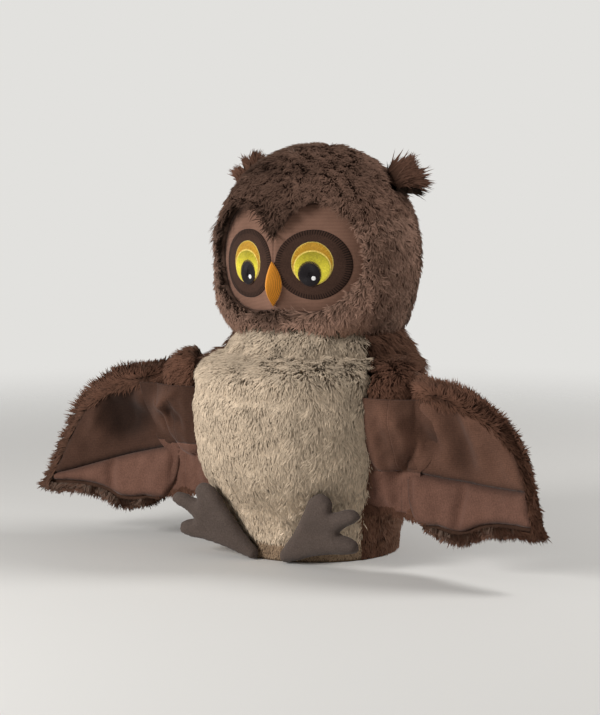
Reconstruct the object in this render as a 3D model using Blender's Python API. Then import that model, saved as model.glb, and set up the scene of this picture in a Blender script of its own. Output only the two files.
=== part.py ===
"""Stuffed owl glove puppet with spread wings.

The soft toy is a hollow body that opens at the hem, a stuffed head on a ball shaped neck,
two flat wings on ball shaped shoulders, two flat feet and two ear tufts.
Metres, +Z up. The owl looks along -Y, and its left side is +X.
"""
import math

import bmesh
import bpy
import numpy as np
from mathutils import Matrix, Vector
from mathutils.geometry import delaunay_2d_cdt

COLLECTION_NAME = "plush_owl"

# Clearances shared by all pieces
GAP = 0.0003
SEAM = 0.0004
NECK_CLEARANCE = 0.0005
BALL_CLEARANCE = 0.0005
CUT_OVERRUN = 0.010

# Body
NECK_PIVOT_HEIGHT = 0.130
DOME_RADIUS = 0.076
COLLAR_RISE = 0.025
NECK_HOLE_RADIUS = 0.030
HEM_HALF_WIDTH = 0.068
HEM_HALF_DEPTH = 0.066
HEM_FORWARD = 0.006
CHEST_HALF_WIDTH = 0.088
CHEST_HALF_DEPTH = 0.092
CHEST_FORWARD = 0.014
HEM_BAND_HEIGHT = 0.014
BODY_PLUSH = 0.006
BODY_LINING = 0.0016
LINING_SLACK = 0.0003
BELLY_HALF_ANGLE = math.radians(62.0)
# Height as a share of the collar height, swell from hem to chest as a share
TORSO_SWELL_SHARES = ((0.0, 0.0), (0.12, 0.08), (0.24, 0.27), (0.43, 0.80), (0.62, 1.0),
                      (0.83, 0.98), (0.95, 0.70))

# Neck rings
RING_THICKNESS = 0.002
RING_TOP_ANGLE = math.radians(27.0)
RING_BOTTOM_ANGLE = math.radians(50.0)
RING_ROWS = 4

# Head
HEAD_HEIGHT = 0.234
HEAD_HALF_WIDTH = 0.082
HEAD_HALF_DEPTH = 0.072
HEAD_RISE = 0.085
HEAD_DROP = 0.090
HEAD_PLAN_POWER = 2.1
HEAD_TOP_POWER = 2.1
HEAD_CHIN_POWER = 3.0
HEAD_PLUSH = 0.014
SKIN_ROWS = 6
BACK_ROWS = 8
BACK_COLUMNS = 17
STUFFING_SLACK = 0.0014
BACK_SEAM_ANGLE = math.radians(98.0)
CROWN_SHARES = (0.19, 0.81)
CHIN_SHARES = (0.30, 0.70)

# Face
FACE_DROP = 0.0025
FACE_HALF_WIDTH = 0.0635
FACE_HALF_HEIGHT = 0.041
FACE_RECESS = 0.0115
FACE_SEAM_RECESS = 0.003
FACE_SLOPE_REACH = 0.034
FACE_BULGE = 0.001
FACE_CLEARANCE = 0.00045
# Right half of the face outline, from the peak of the brow down to the chin
FACE_OUTLINE_SHARES = ((0.0, 0.40), (0.10, 0.62), (0.24, 0.90), (0.45, 1.0), (0.72, 0.86),
                       (0.93, 0.45), (1.0, 0.03), (0.93, -0.45), (0.75, -0.80), (0.49, -0.99),
                       (0.22, -1.0), (0.0, -0.97))

# Eyes and beak
EYE_OFFSET = 0.0285
EYE_DROP = 0.0053
DISC_HALF_WIDTH = 0.0268
DISC_HALF_HEIGHT = 0.0264
DISC_THICKNESS = 0.0010
LAYER_THICKNESS = 0.0005
GOLD_HALF_WIDTH = 0.0158
GOLD_HALF_HEIGHT = 0.0172
GOLD_RISE = 0.0012
YELLOW_HALF_WIDTH = 0.0130
YELLOW_HALF_HEIGHT = 0.0142
YELLOW_DROP = 0.0008
PUPIL_HALF_WIDTH = 0.0088
PUPIL_HALF_HEIGHT = 0.0094
PUPIL_DROP = 0.0065
GLINT_RADIUS = 0.0018
GLINT_OFFSET = 0.0030
GLINT_DROP = 0.0030
BEAK_DROP = 0.0030
BEAK_LENGTH = 0.0340
BEAK_HALF_WIDTH = 0.0068
BEAK_DEPTH = 0.0090
BEAK_ROWS = 13
BEAK_STEP = 0.0034
BEAK_SWELL_POWER = 1.25
BEAK_RIDGE_POWER = 0.7
# Distance along the beak from its top, and its half width there, both as shares
BEAK_WIDTH_SHARES = ((0.0, 0.0), (0.12, 0.42), (0.35, 0.92), (0.55, 1.0), (0.80, 0.62), (1.0, 0.0))

# Finger tube inside the head
FINGER_RADIUS = 0.0105
FINGER_WALL = 0.0015
FINGER_DEPTH = 0.052

# Ear tufts
TUFT_SIDE = 0.063
TUFT_BACK = 0.005
TUFT_RISE = 0.056
TUFT_SINK = 0.001
TUFT_BALL = 0.0075
TUFT_LENGTH = 0.036
TUFT_HALF_WIDTH = 0.0125
TUFT_HALF_THICKNESS = 0.0038
TUFT_LEAN = (0.62, 0.74, 0.27)
# Spiky outline, as shares of the tuft's length and of its half width
TUFT_OUTLINE_SHARES = ((0.0, -0.38), (0.20, -0.38), (0.38, -0.68), (0.64, -1.0), (0.58, -0.45),
                       (0.88, -0.55), (0.78, -0.10), (1.0, 0.18), (0.74, 0.32), (0.86, 0.72),
                       (0.55, 0.62), (0.52, 1.0), (0.34, 0.62), (0.20, 0.38), (0.0, 0.38))

# Wings
SHOULDER_OUT = 0.001
SHOULDER_FRONT = 0.040
SHOULDER_HEIGHT = 0.130
SHOULDER_RADIUS = 0.0240
WING_TURN = math.radians(10.0)
WING_LENGTH = 0.137
WING_DROP = 0.104
WING_FUR = 0.0085
WING_VELOUR = 0.0045
WING_EDGE = 0.0035
WING_CUP = 0.016
# The hollow's centre and reach along the length and the drop, and how far its rim comes forward
WING_CUP_CENTRE_SHARES = (0.5, -0.45)
WING_CUP_REACH_SHARE = 0.62
WING_CUP_RIM_SHARE = 0.3
WING_ROUNDING = 0.016
VELOUR_ROUNDING = 0.007
VELOUR_SLACK = 0.0005
FUR_RIM = 0.009
# Outline as shares of the wing length and of the wing drop, from the shoulder along the top edge
WING_OUTLINE_SHARES = ((0.02, 0.17), (0.14, 0.17), (0.32, 0.12), (0.53, 0.045), (0.66, -0.04),
                       (0.76, -0.16), (0.84, -0.33), (0.90, -0.49), (0.945, -0.64), (0.99, -0.79),
                       (1.0, -0.87), (0.93, -0.90), (0.80, -0.905), (0.69, -0.915), (0.60, -0.94),
                       (0.50, -0.995), (0.38, -1.0), (0.27, -0.97), (0.17, -0.90), (0.11, -0.76),
                       (0.085, -0.55), (0.080, -0.35), (0.075, -0.20), (0.05, -0.08))
# Seam between the upper and the lower velour of the wing
WING_SEAM_SHARES = ((-0.10, -0.50), (0.10, -0.60), (0.26, -0.71), (0.45, -0.745), (0.66, -0.725),
                    (0.86, -0.69), (1.10, -0.66))

# Feet
FOOT_LEAN = math.radians(12.0)
FOOT_LENGTH = 0.073
FOOT_RISE = 0.054
FOOT_INNER = 0.010
FOOT_HALF_THICKNESS = 0.0042
FOOT_EDGE = 0.0012
FOOT_NESTLE = 0.0010
FOOT_HINGE_DROP = 0.0010
FOOT_HINGE_FORWARD = 0.0005
FOOT_ROUNDING = 0.0055
# Outline from the heel over the three toes, as shares of the foot's length and rise
FOOT_OUTLINE_SHARES = ((0.0, 0.02), (0.06, 0.16), (0.17, 0.34), (0.33, 0.68), (0.45, 0.94),
                       (0.52, 1.0), (0.61, 1.0), (0.685, 0.90), (0.675, 0.76), (0.74, 0.77),
                       (0.83, 0.815), (0.95, 0.81), (0.995, 0.73), (0.95, 0.66), (0.82, 0.56),
                       (0.74, 0.46), (0.86, 0.40), (0.93, 0.34), (0.93, 0.22), (0.84, 0.17),
                       (0.62, 0.13), (0.40, 0.07), (0.15, -0.04), (0.03, -0.06))

# Facets
ROUND_STEPS = 40
PANEL_STEP = 0.0160
OUTLINE_STEP = 0.0070
WING_STEP = 0.0105
FACE_STEP = 0.0055
FOOT_OUTLINE_STEP = 0.00385
GRID_MARGIN_SHARE = 0.55
OFFSET_SHARE = 0.93
SHARP_ANGLE = math.radians(50.0)
EYE_SEGMENTS = 22
CUP_SEGMENTS = 48
BALL_SEGMENTS = 24
TUBE_SEGMENTS = 16
STUFFING_SEGMENTS = 30
TUFT_BALL_SEGMENTS = 16
LINING_COARSENESS = 5 / 3

# Sizes worked out from the ones above
COLLAR_HEIGHT = NECK_PIVOT_HEIGHT + COLLAR_RISE
CUP_RADIUS = DOME_RADIUS + 3 * NECK_CLEARANCE + 2 * RING_THICKNESS
STAND_OFFSET = CHEST_FORWARD
NECK_PIVOT = Vector((0, 0, NECK_PIVOT_HEIGHT))
SHOULDER = Vector((CHEST_HALF_WIDTH + SHOULDER_OUT, -SHOULDER_FRONT, SHOULDER_HEIGHT))
HEAD_CORE = HEAD_PLUSH + STUFFING_SLACK
FACE_HEIGHT = HEAD_HEIGHT - FACE_DROP
EYE_HEIGHT = FACE_HEIGHT - EYE_DROP
BEAK_TOP = FACE_HEIGHT - BEAK_DROP
SEAM_MARGIN = OUTLINE_STEP / 3

COLOURS = {
    "head_fur": (0.155, 0.098, 0.080),
    "crown_fur": (0.105, 0.062, 0.050),
    "face": (0.170, 0.092, 0.066),
    "disc": (0.060, 0.036, 0.026),
    "gold": (0.480, 0.230, 0.030),
    "yellow": (0.720, 0.600, 0.060),
    "pupil": (0.010, 0.008, 0.008),
    "glint": (0.850, 0.850, 0.820),
    "beak": (0.640, 0.250, 0.030),
    "belly": (0.400, 0.310, 0.220),
    "hem": (0.380, 0.270, 0.180),
    "back_fur": (0.090, 0.050, 0.038),
    "lining": (0.250, 0.200, 0.150),
    "stuffing": (0.800, 0.780, 0.740),
    "velour": (0.100, 0.048, 0.034),
    "feathers": (0.160, 0.085, 0.062),
    "foot": (0.085, 0.075, 0.070),
    "tuft": (0.085, 0.036, 0.026),
}


def clear_scene():
    """Remove every object of the opened scene."""
    for thing in list(bpy.data.objects):
        bpy.data.objects.remove(thing, do_unlink=True)


def new_collection(name):
    """Add a collection to the scene."""
    collection = bpy.data.collections.new(name)
    bpy.context.scene.collection.children.link(collection)
    return collection


def fabric(name, colour_name, roughness=0.95):
    """Give a sub-part its own cloth material."""
    material = bpy.data.materials.new(name + "_cloth")
    material.use_nodes = True
    shader = material.node_tree.nodes["Principled BSDF"]
    shader.inputs["Base Color"].default_value = (*COLOURS[colour_name], 1.0)
    shader.inputs["Roughness"].default_value = roughness
    shader.inputs["Metallic"].default_value = 0.0
    return material


class Owl:
    """Collections and the stand that every piece hangs from."""

    def __init__(self):
        self.parts = new_collection(COLLECTION_NAME)
        self.cutters = new_collection(COLLECTION_NAME + "_cutters")
        self.stand = bpy.data.objects.new("stand", None)
        self.stand.location = (0, STAND_OFFSET, 0)
        self.parts.objects.link(self.stand)

    def piece(self, name, mesh, pivot, colour_name):
        """Add a sub-part whose origin is its joint's pivot."""
        thing = bpy.data.objects.new(name, mesh)
        mesh.transform(Matrix.Translation(-Vector(pivot)))
        mesh.materials.append(fabric(name, colour_name))
        mesh.shade_smooth()
        mesh.set_sharp_from_angle(angle=SHARP_ANGLE)
        thing.parent = self.stand
        thing.location = pivot
        self.parts.objects.link(thing)
        return thing

    def cutter(self, name, mesh, pivot=(0, 0, 0)):
        """Add a hidden cutting shape."""
        thing = bpy.data.objects.new(name, mesh)
        thing.parent = self.stand
        thing.location = pivot
        thing.hide_render = True
        thing.display_type = "WIRE"
        self.cutters.objects.link(thing)
        return thing


def boolean(thing, other, operation="DIFFERENCE"):
    """Cut a piece by another shape, or join them."""
    modifier = thing.modifiers.new(other.name, "BOOLEAN")
    modifier.operation = operation
    modifier.object = other
    modifier.solver = "EXACT"


def mix(first, second, share):
    """Blend two values."""
    return first + (second - first) * share


def smooth_table(rows, places):
    """Read a table of (place, values...) rows with smooth cubic pieces between them."""
    rows = np.asarray(rows, dtype=float)
    knots, values = rows[:, 0], rows[:, 1:]
    slopes = np.gradient(values, knots, axis=0)
    places = np.clip(np.atleast_1d(places), knots[0], knots[-1])
    index = np.clip(np.searchsorted(knots, places, side="right") - 1, 0, len(knots) - 2)
    span = (knots[index + 1] - knots[index])[:, None]
    t = (places - knots[index])[:, None] / span
    start, end = values[index], values[index + 1]
    start_slope, end_slope = slopes[index] * span, slopes[index + 1] * span
    return ((2 * t**3 - 3 * t**2 + 1) * start + (t**3 - 2 * t**2 + t) * start_slope
            + (-2 * t**3 + 3 * t**2) * end + (t**3 - t**2) * end_slope)


def curve_through(points, step, closed=True):
    """Sample a smooth curve through hand set points at about one step."""
    points = np.asarray(points, dtype=float)
    if closed:
        points = np.vstack((points, points[:1]))
    lengths = np.r_[0, np.cumsum(np.linalg.norm(np.diff(points, axis=0), axis=1))]
    count = max(8, int(round(lengths[-1] / step)))
    places = np.linspace(0, lengths[-1], count + 1)
    if closed:
        points = np.vstack((points[-2], points, points[1]))
        lengths = np.r_[lengths[-2] - lengths[-1], lengths, lengths[-1] + lengths[1]]
        places = places[:-1]
    return smooth_table(np.column_stack((lengths, points)), places)


def mesh_from(name, points, faces):
    """Make one closed mesh with its faces pointing out."""
    mesh = bpy.data.meshes.new(name)
    mesh.from_pydata([tuple(point) for point in points], [], faces)
    work = bmesh.new()
    work.from_mesh(mesh)
    bmesh.ops.remove_doubles(work, verts=work.verts, dist=GAP / 100)
    bmesh.ops.dissolve_degenerate(work, edges=work.edges, dist=GAP / 100)
    bmesh.ops.recalc_face_normals(work, faces=work.faces)
    work.to_mesh(mesh)
    work.free()
    return mesh


def shell_mesh(name, outer, inner, closed=False):
    """Close an outer and an inner grid of points into one solid panel.

    The grids have rows and columns alike. A closed panel runs all round along its columns.
    """
    rows, columns = outer.shape[:2]
    points = np.concatenate((outer.reshape(-1, 3), inner.reshape(-1, 3)))
    inside = rows * columns
    faces = []
    wraps = columns if closed else columns - 1
    for row in range(rows - 1):
        for column in range(wraps):
            after = (column + 1) % columns
            a, b = row * columns + column, row * columns + after
            c, d = b + columns, a + columns
            faces.append((a, b, c, d))
            faces.append((inside + a, inside + d, inside + c, inside + b))
    for row in (0, rows - 1):
        for column in range(wraps):
            after = (column + 1) % columns
            a, b = row * columns + column, row * columns + after
            faces.append((a, inside + a, inside + b, b))
    if not closed:
        for column in (0, columns - 1):
            for row in range(rows - 1):
                a = row * columns + column
                b = a + columns
                faces.append((a, b, inside + b, inside + a))
    return mesh_from(name, points, faces)


def edge_distance(points, outline):
    """Distance of flat points to a closed outline."""
    start = outline
    along = np.roll(outline, -1, axis=0) - outline
    offset = points[:, None, :] - start[None]
    share = np.clip((offset * along).sum(2) / (along * along).sum(1), 0, 1)
    return np.linalg.norm(offset - share[..., None] * along, axis=2).min(1)


def is_inside(points, outline):
    """Even-odd test of flat points against a closed outline."""
    x, y = points[:, :1], points[:, 1:]
    ax, ay = outline.T
    bx, by = np.roll(outline, -1, axis=0).T
    straddles = (ay > y) != (by > y)
    run = np.where(by == ay, 1.0, by - ay)
    crossing = ax + (y - ay) * (bx - ax) / run
    return (straddles & (x < crossing)).sum(1) % 2 == 1


def cushion_mesh(name, outline, step, lower, upper, place):
    """Stuff a flat outline: a triangulated plate whose two faces follow two height functions.

    Both functions take the flat points and their distance to the outline. The place function
    turns flat points and heights into space.
    """
    low, high = outline.min(0), outline.max(0)
    across = np.arange(low[0], high[0], step)
    along = np.arange(low[1], high[1], step * math.sqrt(3) / 2)
    grid = np.array([(x + (row % 2) * step / 2, y) for row, y in enumerate(along) for x in across])
    keep = is_inside(grid, outline)
    grid = grid[keep]
    grid = grid[edge_distance(grid, outline) > step * GRID_MARGIN_SHARE]
    flat = np.vstack((outline, grid))
    count = len(outline)
    loop = list(range(count))
    vertices, _, faces, *_ = delaunay_2d_cdt([Vector(point) for point in flat], [], [loop], 1, GAP / 1000)
    flat = np.array([tuple(vertex) for vertex in vertices])
    distance = edge_distance(flat, outline)
    bottom = place(flat, lower(flat, distance))
    top = place(flat, upper(flat, distance))
    shift = len(flat)
    solid = [tuple(face) for face in faces]
    solid += [tuple(shift + corner for corner in reversed(face)) for face in faces]
    solid += [(a, (a + 1) % count, shift + (a + 1) % count, shift + a) for a in range(count)]
    return mesh_from(name, np.vstack((top, bottom)), solid)


def crown(distance, rounding, edge, full):
    """Height of a stuffed face: the edge height at the seam, the full height past the rounding."""
    share = np.clip(distance / rounding, 0, 1)
    return edge + (full - edge) * np.sqrt(1 - (1 - share)**2)


def ball_mesh(name, radius, segments):
    """A ball whose facets touch the radius."""
    mesh = bpy.data.meshes.new(name)
    work = bmesh.new()
    bmesh.ops.create_uvsphere(work, u_segments=segments, v_segments=segments // 2, radius=radius)
    work.to_mesh(mesh)
    work.free()
    return mesh


def mirrored(mesh, name):
    """The other side's copy of a mesh."""
    copy = mesh.copy()
    copy.name = name
    copy.materials.clear()
    copy.transform(Matrix.Scale(-1, 4, Vector((1, 0, 0))))
    copy.flip_normals()
    return copy


def side_name(name, side):
    """Name of a left or a right piece."""
    return name + ("_left" if side > 0 else "_right")


def sided(point, side):
    """Mirror a point to the wanted side."""
    return Vector((point[0] * side, point[1], point[2]))


# Body shape

def torso_rows():
    """Sections of the body from the hem to the collar: height, half width, half depth, forward."""
    rows = []
    for height_share, swell_share in TORSO_SWELL_SHARES:
        rows.append((height_share * COLLAR_HEIGHT,
                     mix(HEM_HALF_WIDTH, CHEST_HALF_WIDTH, swell_share),
                     mix(HEM_HALF_DEPTH, CHEST_HALF_DEPTH, swell_share),
                     mix(HEM_FORWARD, CHEST_FORWARD, swell_share)))
    collar = math.sqrt(DOME_RADIUS**2 - COLLAR_RISE**2)
    rows.append((COLLAR_HEIGHT, collar, collar, 0))
    return rows


def torso_stations(start_height):
    """Places along the body's profile: heights up to the full chest, then dome angles to the neck hole."""
    chest_top = TORSO_SWELL_SHARES[-1][0] * COLLAR_HEIGHT
    heights = np.linspace(0, chest_top, round(COLLAR_HEIGHT / PANEL_STEP))[1:]
    heights = np.r_[start_height, heights[heights > start_height + PANEL_STEP / 2]]
    collar_angle = math.acos(COLLAR_RISE / DOME_RADIUS)
    hole_angle = math.asin(NECK_HOLE_RADIUS / DOME_RADIUS)
    steps = round((collar_angle - hole_angle) * ROUND_STEPS / (2 * math.pi))
    return heights, np.linspace(collar_angle, hole_angle, max(3, steps + 1))


def torso_grid(start_height, end_height, start_angle, end_angle, inset, coarseness):
    """Grid of points on the body's surface, between two heights and two angles from the front."""
    if end_height is None:
        heights, dome = torso_stations(start_height)
    else:
        heights, dome = np.array([start_height, end_height]), np.array([])
    sections = smooth_table(torso_rows(), heights)
    closed = end_angle - start_angle > 2 * math.pi - GAP
    columns = round((end_angle - start_angle) / (2 * math.pi) * ROUND_STEPS / coarseness)
    rows = []
    for height, (width, depth, forward) in zip(heights, sections):
        rows.append((width - inset, depth - inset, forward, height))
    for angle in dome:
        radius = (DOME_RADIUS - inset) * math.sin(angle)
        rows.append((radius, radius, 0, NECK_PIVOT_HEIGHT + (DOME_RADIUS - inset) * math.cos(angle)))
    grid = []
    for width, depth, forward, height in rows:
        trim = 0 if closed else SEAM / (2 * min(width, depth))
        angles = np.linspace(start_angle + trim, end_angle - trim, columns + 1)
        angles = angles[:columns] if closed else angles
        grid.append(np.column_stack((width * np.sin(angles), -forward - depth * np.cos(angles),
                                     np.full(len(angles), height))))
    return np.array(grid)


def torso_panel(name, start_height, end_height, start_angle, end_angle, inset, thickness):
    """A panel of the body between an inset and that inset plus its thickness."""
    closed = end_angle - start_angle > 2 * math.pi - GAP
    coarseness = LINING_COARSENESS if closed else 1
    outer = torso_grid(start_height, end_height, start_angle, end_angle, inset, coarseness)
    inner = torso_grid(start_height, end_height, start_angle, end_angle, inset + thickness, coarseness)
    return shell_mesh(name, outer, inner, closed)


def make_body(owl):
    """Belly, back, hem and the sleeve lining, with an arm hole on each side."""
    front, half_turn, whole_turn = BELLY_HALF_ANGLE, math.pi, 2 * math.pi
    panel_start = HEM_BAND_HEIGHT + SEAM
    pieces = [
        ("belly_panel", "belly", panel_start, None, -front, front, 0, BODY_PLUSH),
        ("back_panel_left", "back_fur", panel_start, None, front, half_turn, 0, BODY_PLUSH),
        ("back_panel_right", "back_fur", panel_start, None, -half_turn, -front, 0, BODY_PLUSH),
        ("hem_front", "hem", 0, HEM_BAND_HEIGHT, -front, front, 0, BODY_PLUSH),
        ("hem_back", "back_fur", 0, HEM_BAND_HEIGHT, front, whole_turn - front, 0, BODY_PLUSH),
        ("sleeve_lining", "lining", 0, None, 0, whole_turn, BODY_PLUSH + GAP + LINING_SLACK, BODY_LINING),
    ]
    made = {}
    for name, colour_name, low, high, start, end, inset, thickness in pieces:
        mesh = torso_panel(name, low, high, start, end, inset, thickness)
        made[name] = owl.piece(name, mesh, (0, 0, 0), colour_name)
    for side in (1, -1):
        hole = owl.cutter(side_name("arm_hole", side),
                          ball_mesh("arm_hole", SHOULDER_RADIUS + BALL_CLEARANCE, BALL_SEGMENTS),
                          sided(SHOULDER, side))
        boolean(made["belly_panel"], hole)
        boolean(made["sleeve_lining"], hole)
        boolean(made[side_name("back_panel", side)], hole)


def make_neck(owl):
    """Two thin rings, shaped as zones of a ball, that the head turns and nods on."""
    inner = DOME_RADIUS + NECK_CLEARANCE
    for name, colour_name in (("neck_lining", "lining"), ("neck_gusset", "head_fur")):
        angles = np.linspace(0, 2 * math.pi, ROUND_STEPS + 1)[:-1]
        zone = np.linspace(RING_TOP_ANGLE, RING_BOTTOM_ANGLE, RING_ROWS)
        grids = []
        for radius in (inner + RING_THICKNESS, inner):
            grids.append(np.array([[(radius * math.sin(polar) * math.cos(turn),
                                     radius * math.sin(polar) * math.sin(turn),
                                     NECK_PIVOT_HEIGHT + radius * math.cos(polar))
                                    for turn in angles] for polar in zone]))
        owl.piece(name, shell_mesh(name, grids[0], grids[1], closed=True), NECK_PIVOT, colour_name)
        inner += RING_THICKNESS + NECK_CLEARANCE


# Head shape

def head_radii(inset):
    """Half width, half depth, rise and drop of the head at a depth below its surface."""
    return (HEAD_HALF_WIDTH - inset, HEAD_HALF_DEPTH - inset, HEAD_RISE - inset, HEAD_DROP - inset)


def head_profile(lift, inset):
    """Rise or drop of the head, and the power of its profile, at heights above its middle."""
    _, _, rise, drop = head_radii(inset)
    return np.where(lift > 0, rise, drop), np.where(lift > 0, HEAD_TOP_POWER, HEAD_CHIN_POWER)


def head_points(directions, inset):
    """Points of the head along directions from its centre: nearly round from above, fuller at the chin."""
    width, depth, _, _ = head_radii(inset)
    tall, power = head_profile(directions[..., 2], inset)
    plan = (np.abs(directions[..., 0] / width)**HEAD_PLAN_POWER
            + np.abs(directions[..., 1] / depth)**HEAD_PLAN_POWER)**(1 / HEAD_PLAN_POWER)
    reach = (plan**power + np.abs(directions[..., 2] / tall)**power)**(-1 / power)
    return directions * reach[..., None] + np.array((0, 0, HEAD_HEIGHT))


def head_front(flat, inset):
    """Y of the head's front at flat points (x, z)."""
    width, depth, _, _ = head_radii(inset)
    lift = flat[:, 1] - HEAD_HEIGHT
    tall, power = head_profile(lift, inset)
    plan = np.clip(1 - np.abs(lift / tall)**power, 0, 1)**(1 / power)
    rest = plan**HEAD_PLAN_POWER - np.abs(flat[:, 0] / width)**HEAD_PLAN_POWER
    return -depth * np.clip(rest, 0, 1)**(1 / HEAD_PLAN_POWER)


def face_half_outline():
    """Right half of the face outline as seen from the front, from the brow down to the chin."""
    shares = np.array(FACE_OUTLINE_SHARES)
    points = shares * (FACE_HALF_WIDTH, FACE_HALF_HEIGHT) + (0, FACE_HEIGHT)
    return curve_through(points, OUTLINE_STEP, closed=False)


def face_outline():
    """Whole face outline, from the brow's peak round by +X."""
    half = face_half_outline()
    other = half[-2:0:-1] * (-1, 1)
    return np.vstack((half, other))


def front_panel_grid(outline, start_share, end_share, inset):
    """Grid of a fur panel that runs from the face outline back to the seam behind the cheeks.

    Shares run round the face outline from the brow's peak.
    """
    count = len(outline)
    first, last = round(start_share * count), round(end_share * count)
    index = np.arange(first, last + 1) % count
    edge = outline[index] - (0, HEAD_HEIGHT)
    edge *= 1 + FACE_CLEARANCE / np.linalg.norm(edge, axis=1, keepdims=True)
    start = np.arctan2(np.linalg.norm(edge, axis=1), -head_front(edge + (0, HEAD_HEIGHT), inset))
    roll = np.unwrap(np.arctan2(edge[:, 1], edge[:, 0]))
    trim = SEAM / (2 * HEAD_HALF_DEPTH)
    roll[0] += math.copysign(trim, roll[-1] - roll[0])
    roll[-1] -= math.copysign(trim, roll[-1] - roll[0])
    slope_trim = GAP / HEAD_HALF_DEPTH
    rows = []
    for share in np.linspace(0, 1, SKIN_ROWS):
        away = mix(start, BACK_SEAM_ANGLE - slope_trim, share)
        directions = np.column_stack((np.sin(away) * np.cos(roll), -np.cos(away),
                                      np.sin(away) * np.sin(roll)))
        rows.append(head_points(directions, inset))
    return np.array(rows)


def back_panel_grid(inset):
    """Grid of the left half of the back of the head, from the seam to the middle of the back."""
    rows = []
    roll = np.linspace(-math.pi / 2, math.pi / 2, BACK_COLUMNS)
    slope_trim = GAP / HEAD_HALF_DEPTH
    for away in np.linspace(BACK_SEAM_ANGLE + slope_trim, math.pi, BACK_ROWS):
        directions = np.column_stack((np.sin(away) * np.cos(roll), np.full(len(roll), -math.cos(away)),
                                      np.sin(away) * np.sin(roll)))
        rows.append(head_points(directions, inset))
    grid = np.array(rows)
    grid[..., 0] = np.maximum(grid[..., 0], 0) + SEAM / 2
    return grid


def make_head_skin(owl, cup, tuft_holes):
    """Fur panels of the head round the face, each hollowed out over the neck."""
    outline = face_outline()
    crown_start, crown_end = CROWN_SHARES
    chin_start, chin_end = CHIN_SHARES
    panels = [
        ("crown_panel", "crown_fur", crown_end, 1 + crown_start),
        ("cheek_left", "head_fur", crown_start, chin_start),
        ("chin_panel", "head_fur", chin_start, chin_end),
        ("cheek_right", "head_fur", chin_end, crown_end),
    ]
    for name, colour_name, start, end in panels:
        outer = front_panel_grid(outline, start, end, 0)
        inner = front_panel_grid(outline, start, end, HEAD_PLUSH)
        panel = owl.piece(name, shell_mesh(name, outer, inner), NECK_PIVOT, colour_name)
        boolean(panel, cup)
        for hole in tuft_holes:
            boolean(panel, hole)
    mesh = shell_mesh("head_back_left", back_panel_grid(0), back_panel_grid(HEAD_PLUSH))
    other = mirrored(mesh, "head_back_right")
    for name, half in (("head_back_left", mesh), ("head_back_right", other)):
        panel = owl.piece(name, half, NECK_PIVOT, "crown_fur")
        boolean(panel, cup)
        for hole in tuft_holes:
            boolean(panel, hole)


def make_head_core(owl, cup, tuft_holes):
    """Stuffing inside the fur, with the finger tube let into it from below."""
    mesh = ball_mesh("head_stuffing", 1, STUFFING_SEGMENTS)
    directions = np.array([tuple(vertex.co) for vertex in mesh.vertices])
    shaped = head_points(directions, HEAD_CORE)
    mesh.vertices.foreach_set("co", shaped.ravel())
    mesh.update()
    stuffing = owl.piece("head_stuffing", mesh, NECK_PIVOT, "stuffing")
    cup_top = NECK_PIVOT_HEIGHT + CUP_RADIUS
    outer = FINGER_RADIUS + FINGER_WALL
    bottom = cup_top - CUT_OVERRUN
    bore = turned_mesh("finger_bore", ((outer + GAP, cup_top + FINGER_DEPTH + FINGER_WALL + GAP),
                                       (outer + GAP, bottom)))
    boolean(stuffing, cup)
    boolean(stuffing, owl.cutter("finger_bore", bore))
    for hole in tuft_holes:
        boolean(stuffing, hole)
    tube = turned_mesh("finger_tube", ((outer, cup_top + FINGER_DEPTH + FINGER_WALL), (outer, bottom),
                                       (FINGER_RADIUS, bottom), (FINGER_RADIUS, cup_top + FINGER_DEPTH)))
    sleeve = owl.piece("finger_tube", tube, NECK_PIVOT, "lining")
    boolean(sleeve, cup)


def turned_mesh(name, profile):
    """Turn a profile of (radius, height) points about the Z axis, closed on the axis at both ends."""
    points = [(radius, 0, height) for radius, height in profile]
    points = [(0, 0, points[0][2])] + points + [(0, 0, points[-1][2])]
    work = bmesh.new()
    vertices = [work.verts.new(point) for point in points]
    edges = [work.edges.new(pair) for pair in zip(vertices, vertices[1:])]
    bmesh.ops.spin(work, geom=vertices + edges, angle=2 * math.pi, steps=TUBE_SEGMENTS, axis=(0, 0, 1),
                   cent=(0, 0, 0), use_merge=True)
    bmesh.ops.remove_doubles(work, verts=work.verts, dist=GAP / 100)
    bmesh.ops.recalc_face_normals(work, faces=work.faces)
    mesh = bpy.data.meshes.new(name)
    work.to_mesh(mesh)
    work.free()
    return mesh


# Face

def face_surface(flat, lift):
    """Y of the velour face at flat points (x, z), lifted off it by a height.

    The face falls back on both sides of its middle seam, and swells a little round each eye.
    """
    slope = np.clip(np.abs(flat[:, 0]) / FACE_SLOPE_REACH, 0, 1)
    recess = mix(FACE_SEAM_RECESS, FACE_RECESS, 1 - (1 - slope)**2)
    round_x = (np.abs(flat[:, 0]) - EYE_OFFSET) / (FACE_HALF_WIDTH - EYE_OFFSET)
    round_z = (flat[:, 1] - FACE_HEIGHT) / FACE_HALF_HEIGHT
    bulge = FACE_BULGE * np.clip(1 - round_x**2 - round_z**2, 0, 1)
    return head_front(flat, 0) + recess - bulge - lift


def front_place(flat, y):
    """Place flat points (x, z) at their y."""
    return np.column_stack((flat[:, 0], y, flat[:, 1]))


def face_layer(name, outline, step, lift, thickness):
    """A cloth layer lying on the face, from a lift above it to that lift plus its thickness."""
    return cushion_mesh(name, outline, step, lambda flat, _: face_surface(flat, lift),
                        lambda flat, _: face_surface(flat, lift + thickness), front_place)


def ellipse(centre_x, centre_z, half_width, half_height, segments):
    """Points of an ellipse in the front view."""
    turn = np.linspace(0, 2 * math.pi, segments + 1)[:-1]
    return np.column_stack((centre_x + half_width * np.cos(turn), centre_z + half_height * np.sin(turn)))


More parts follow.
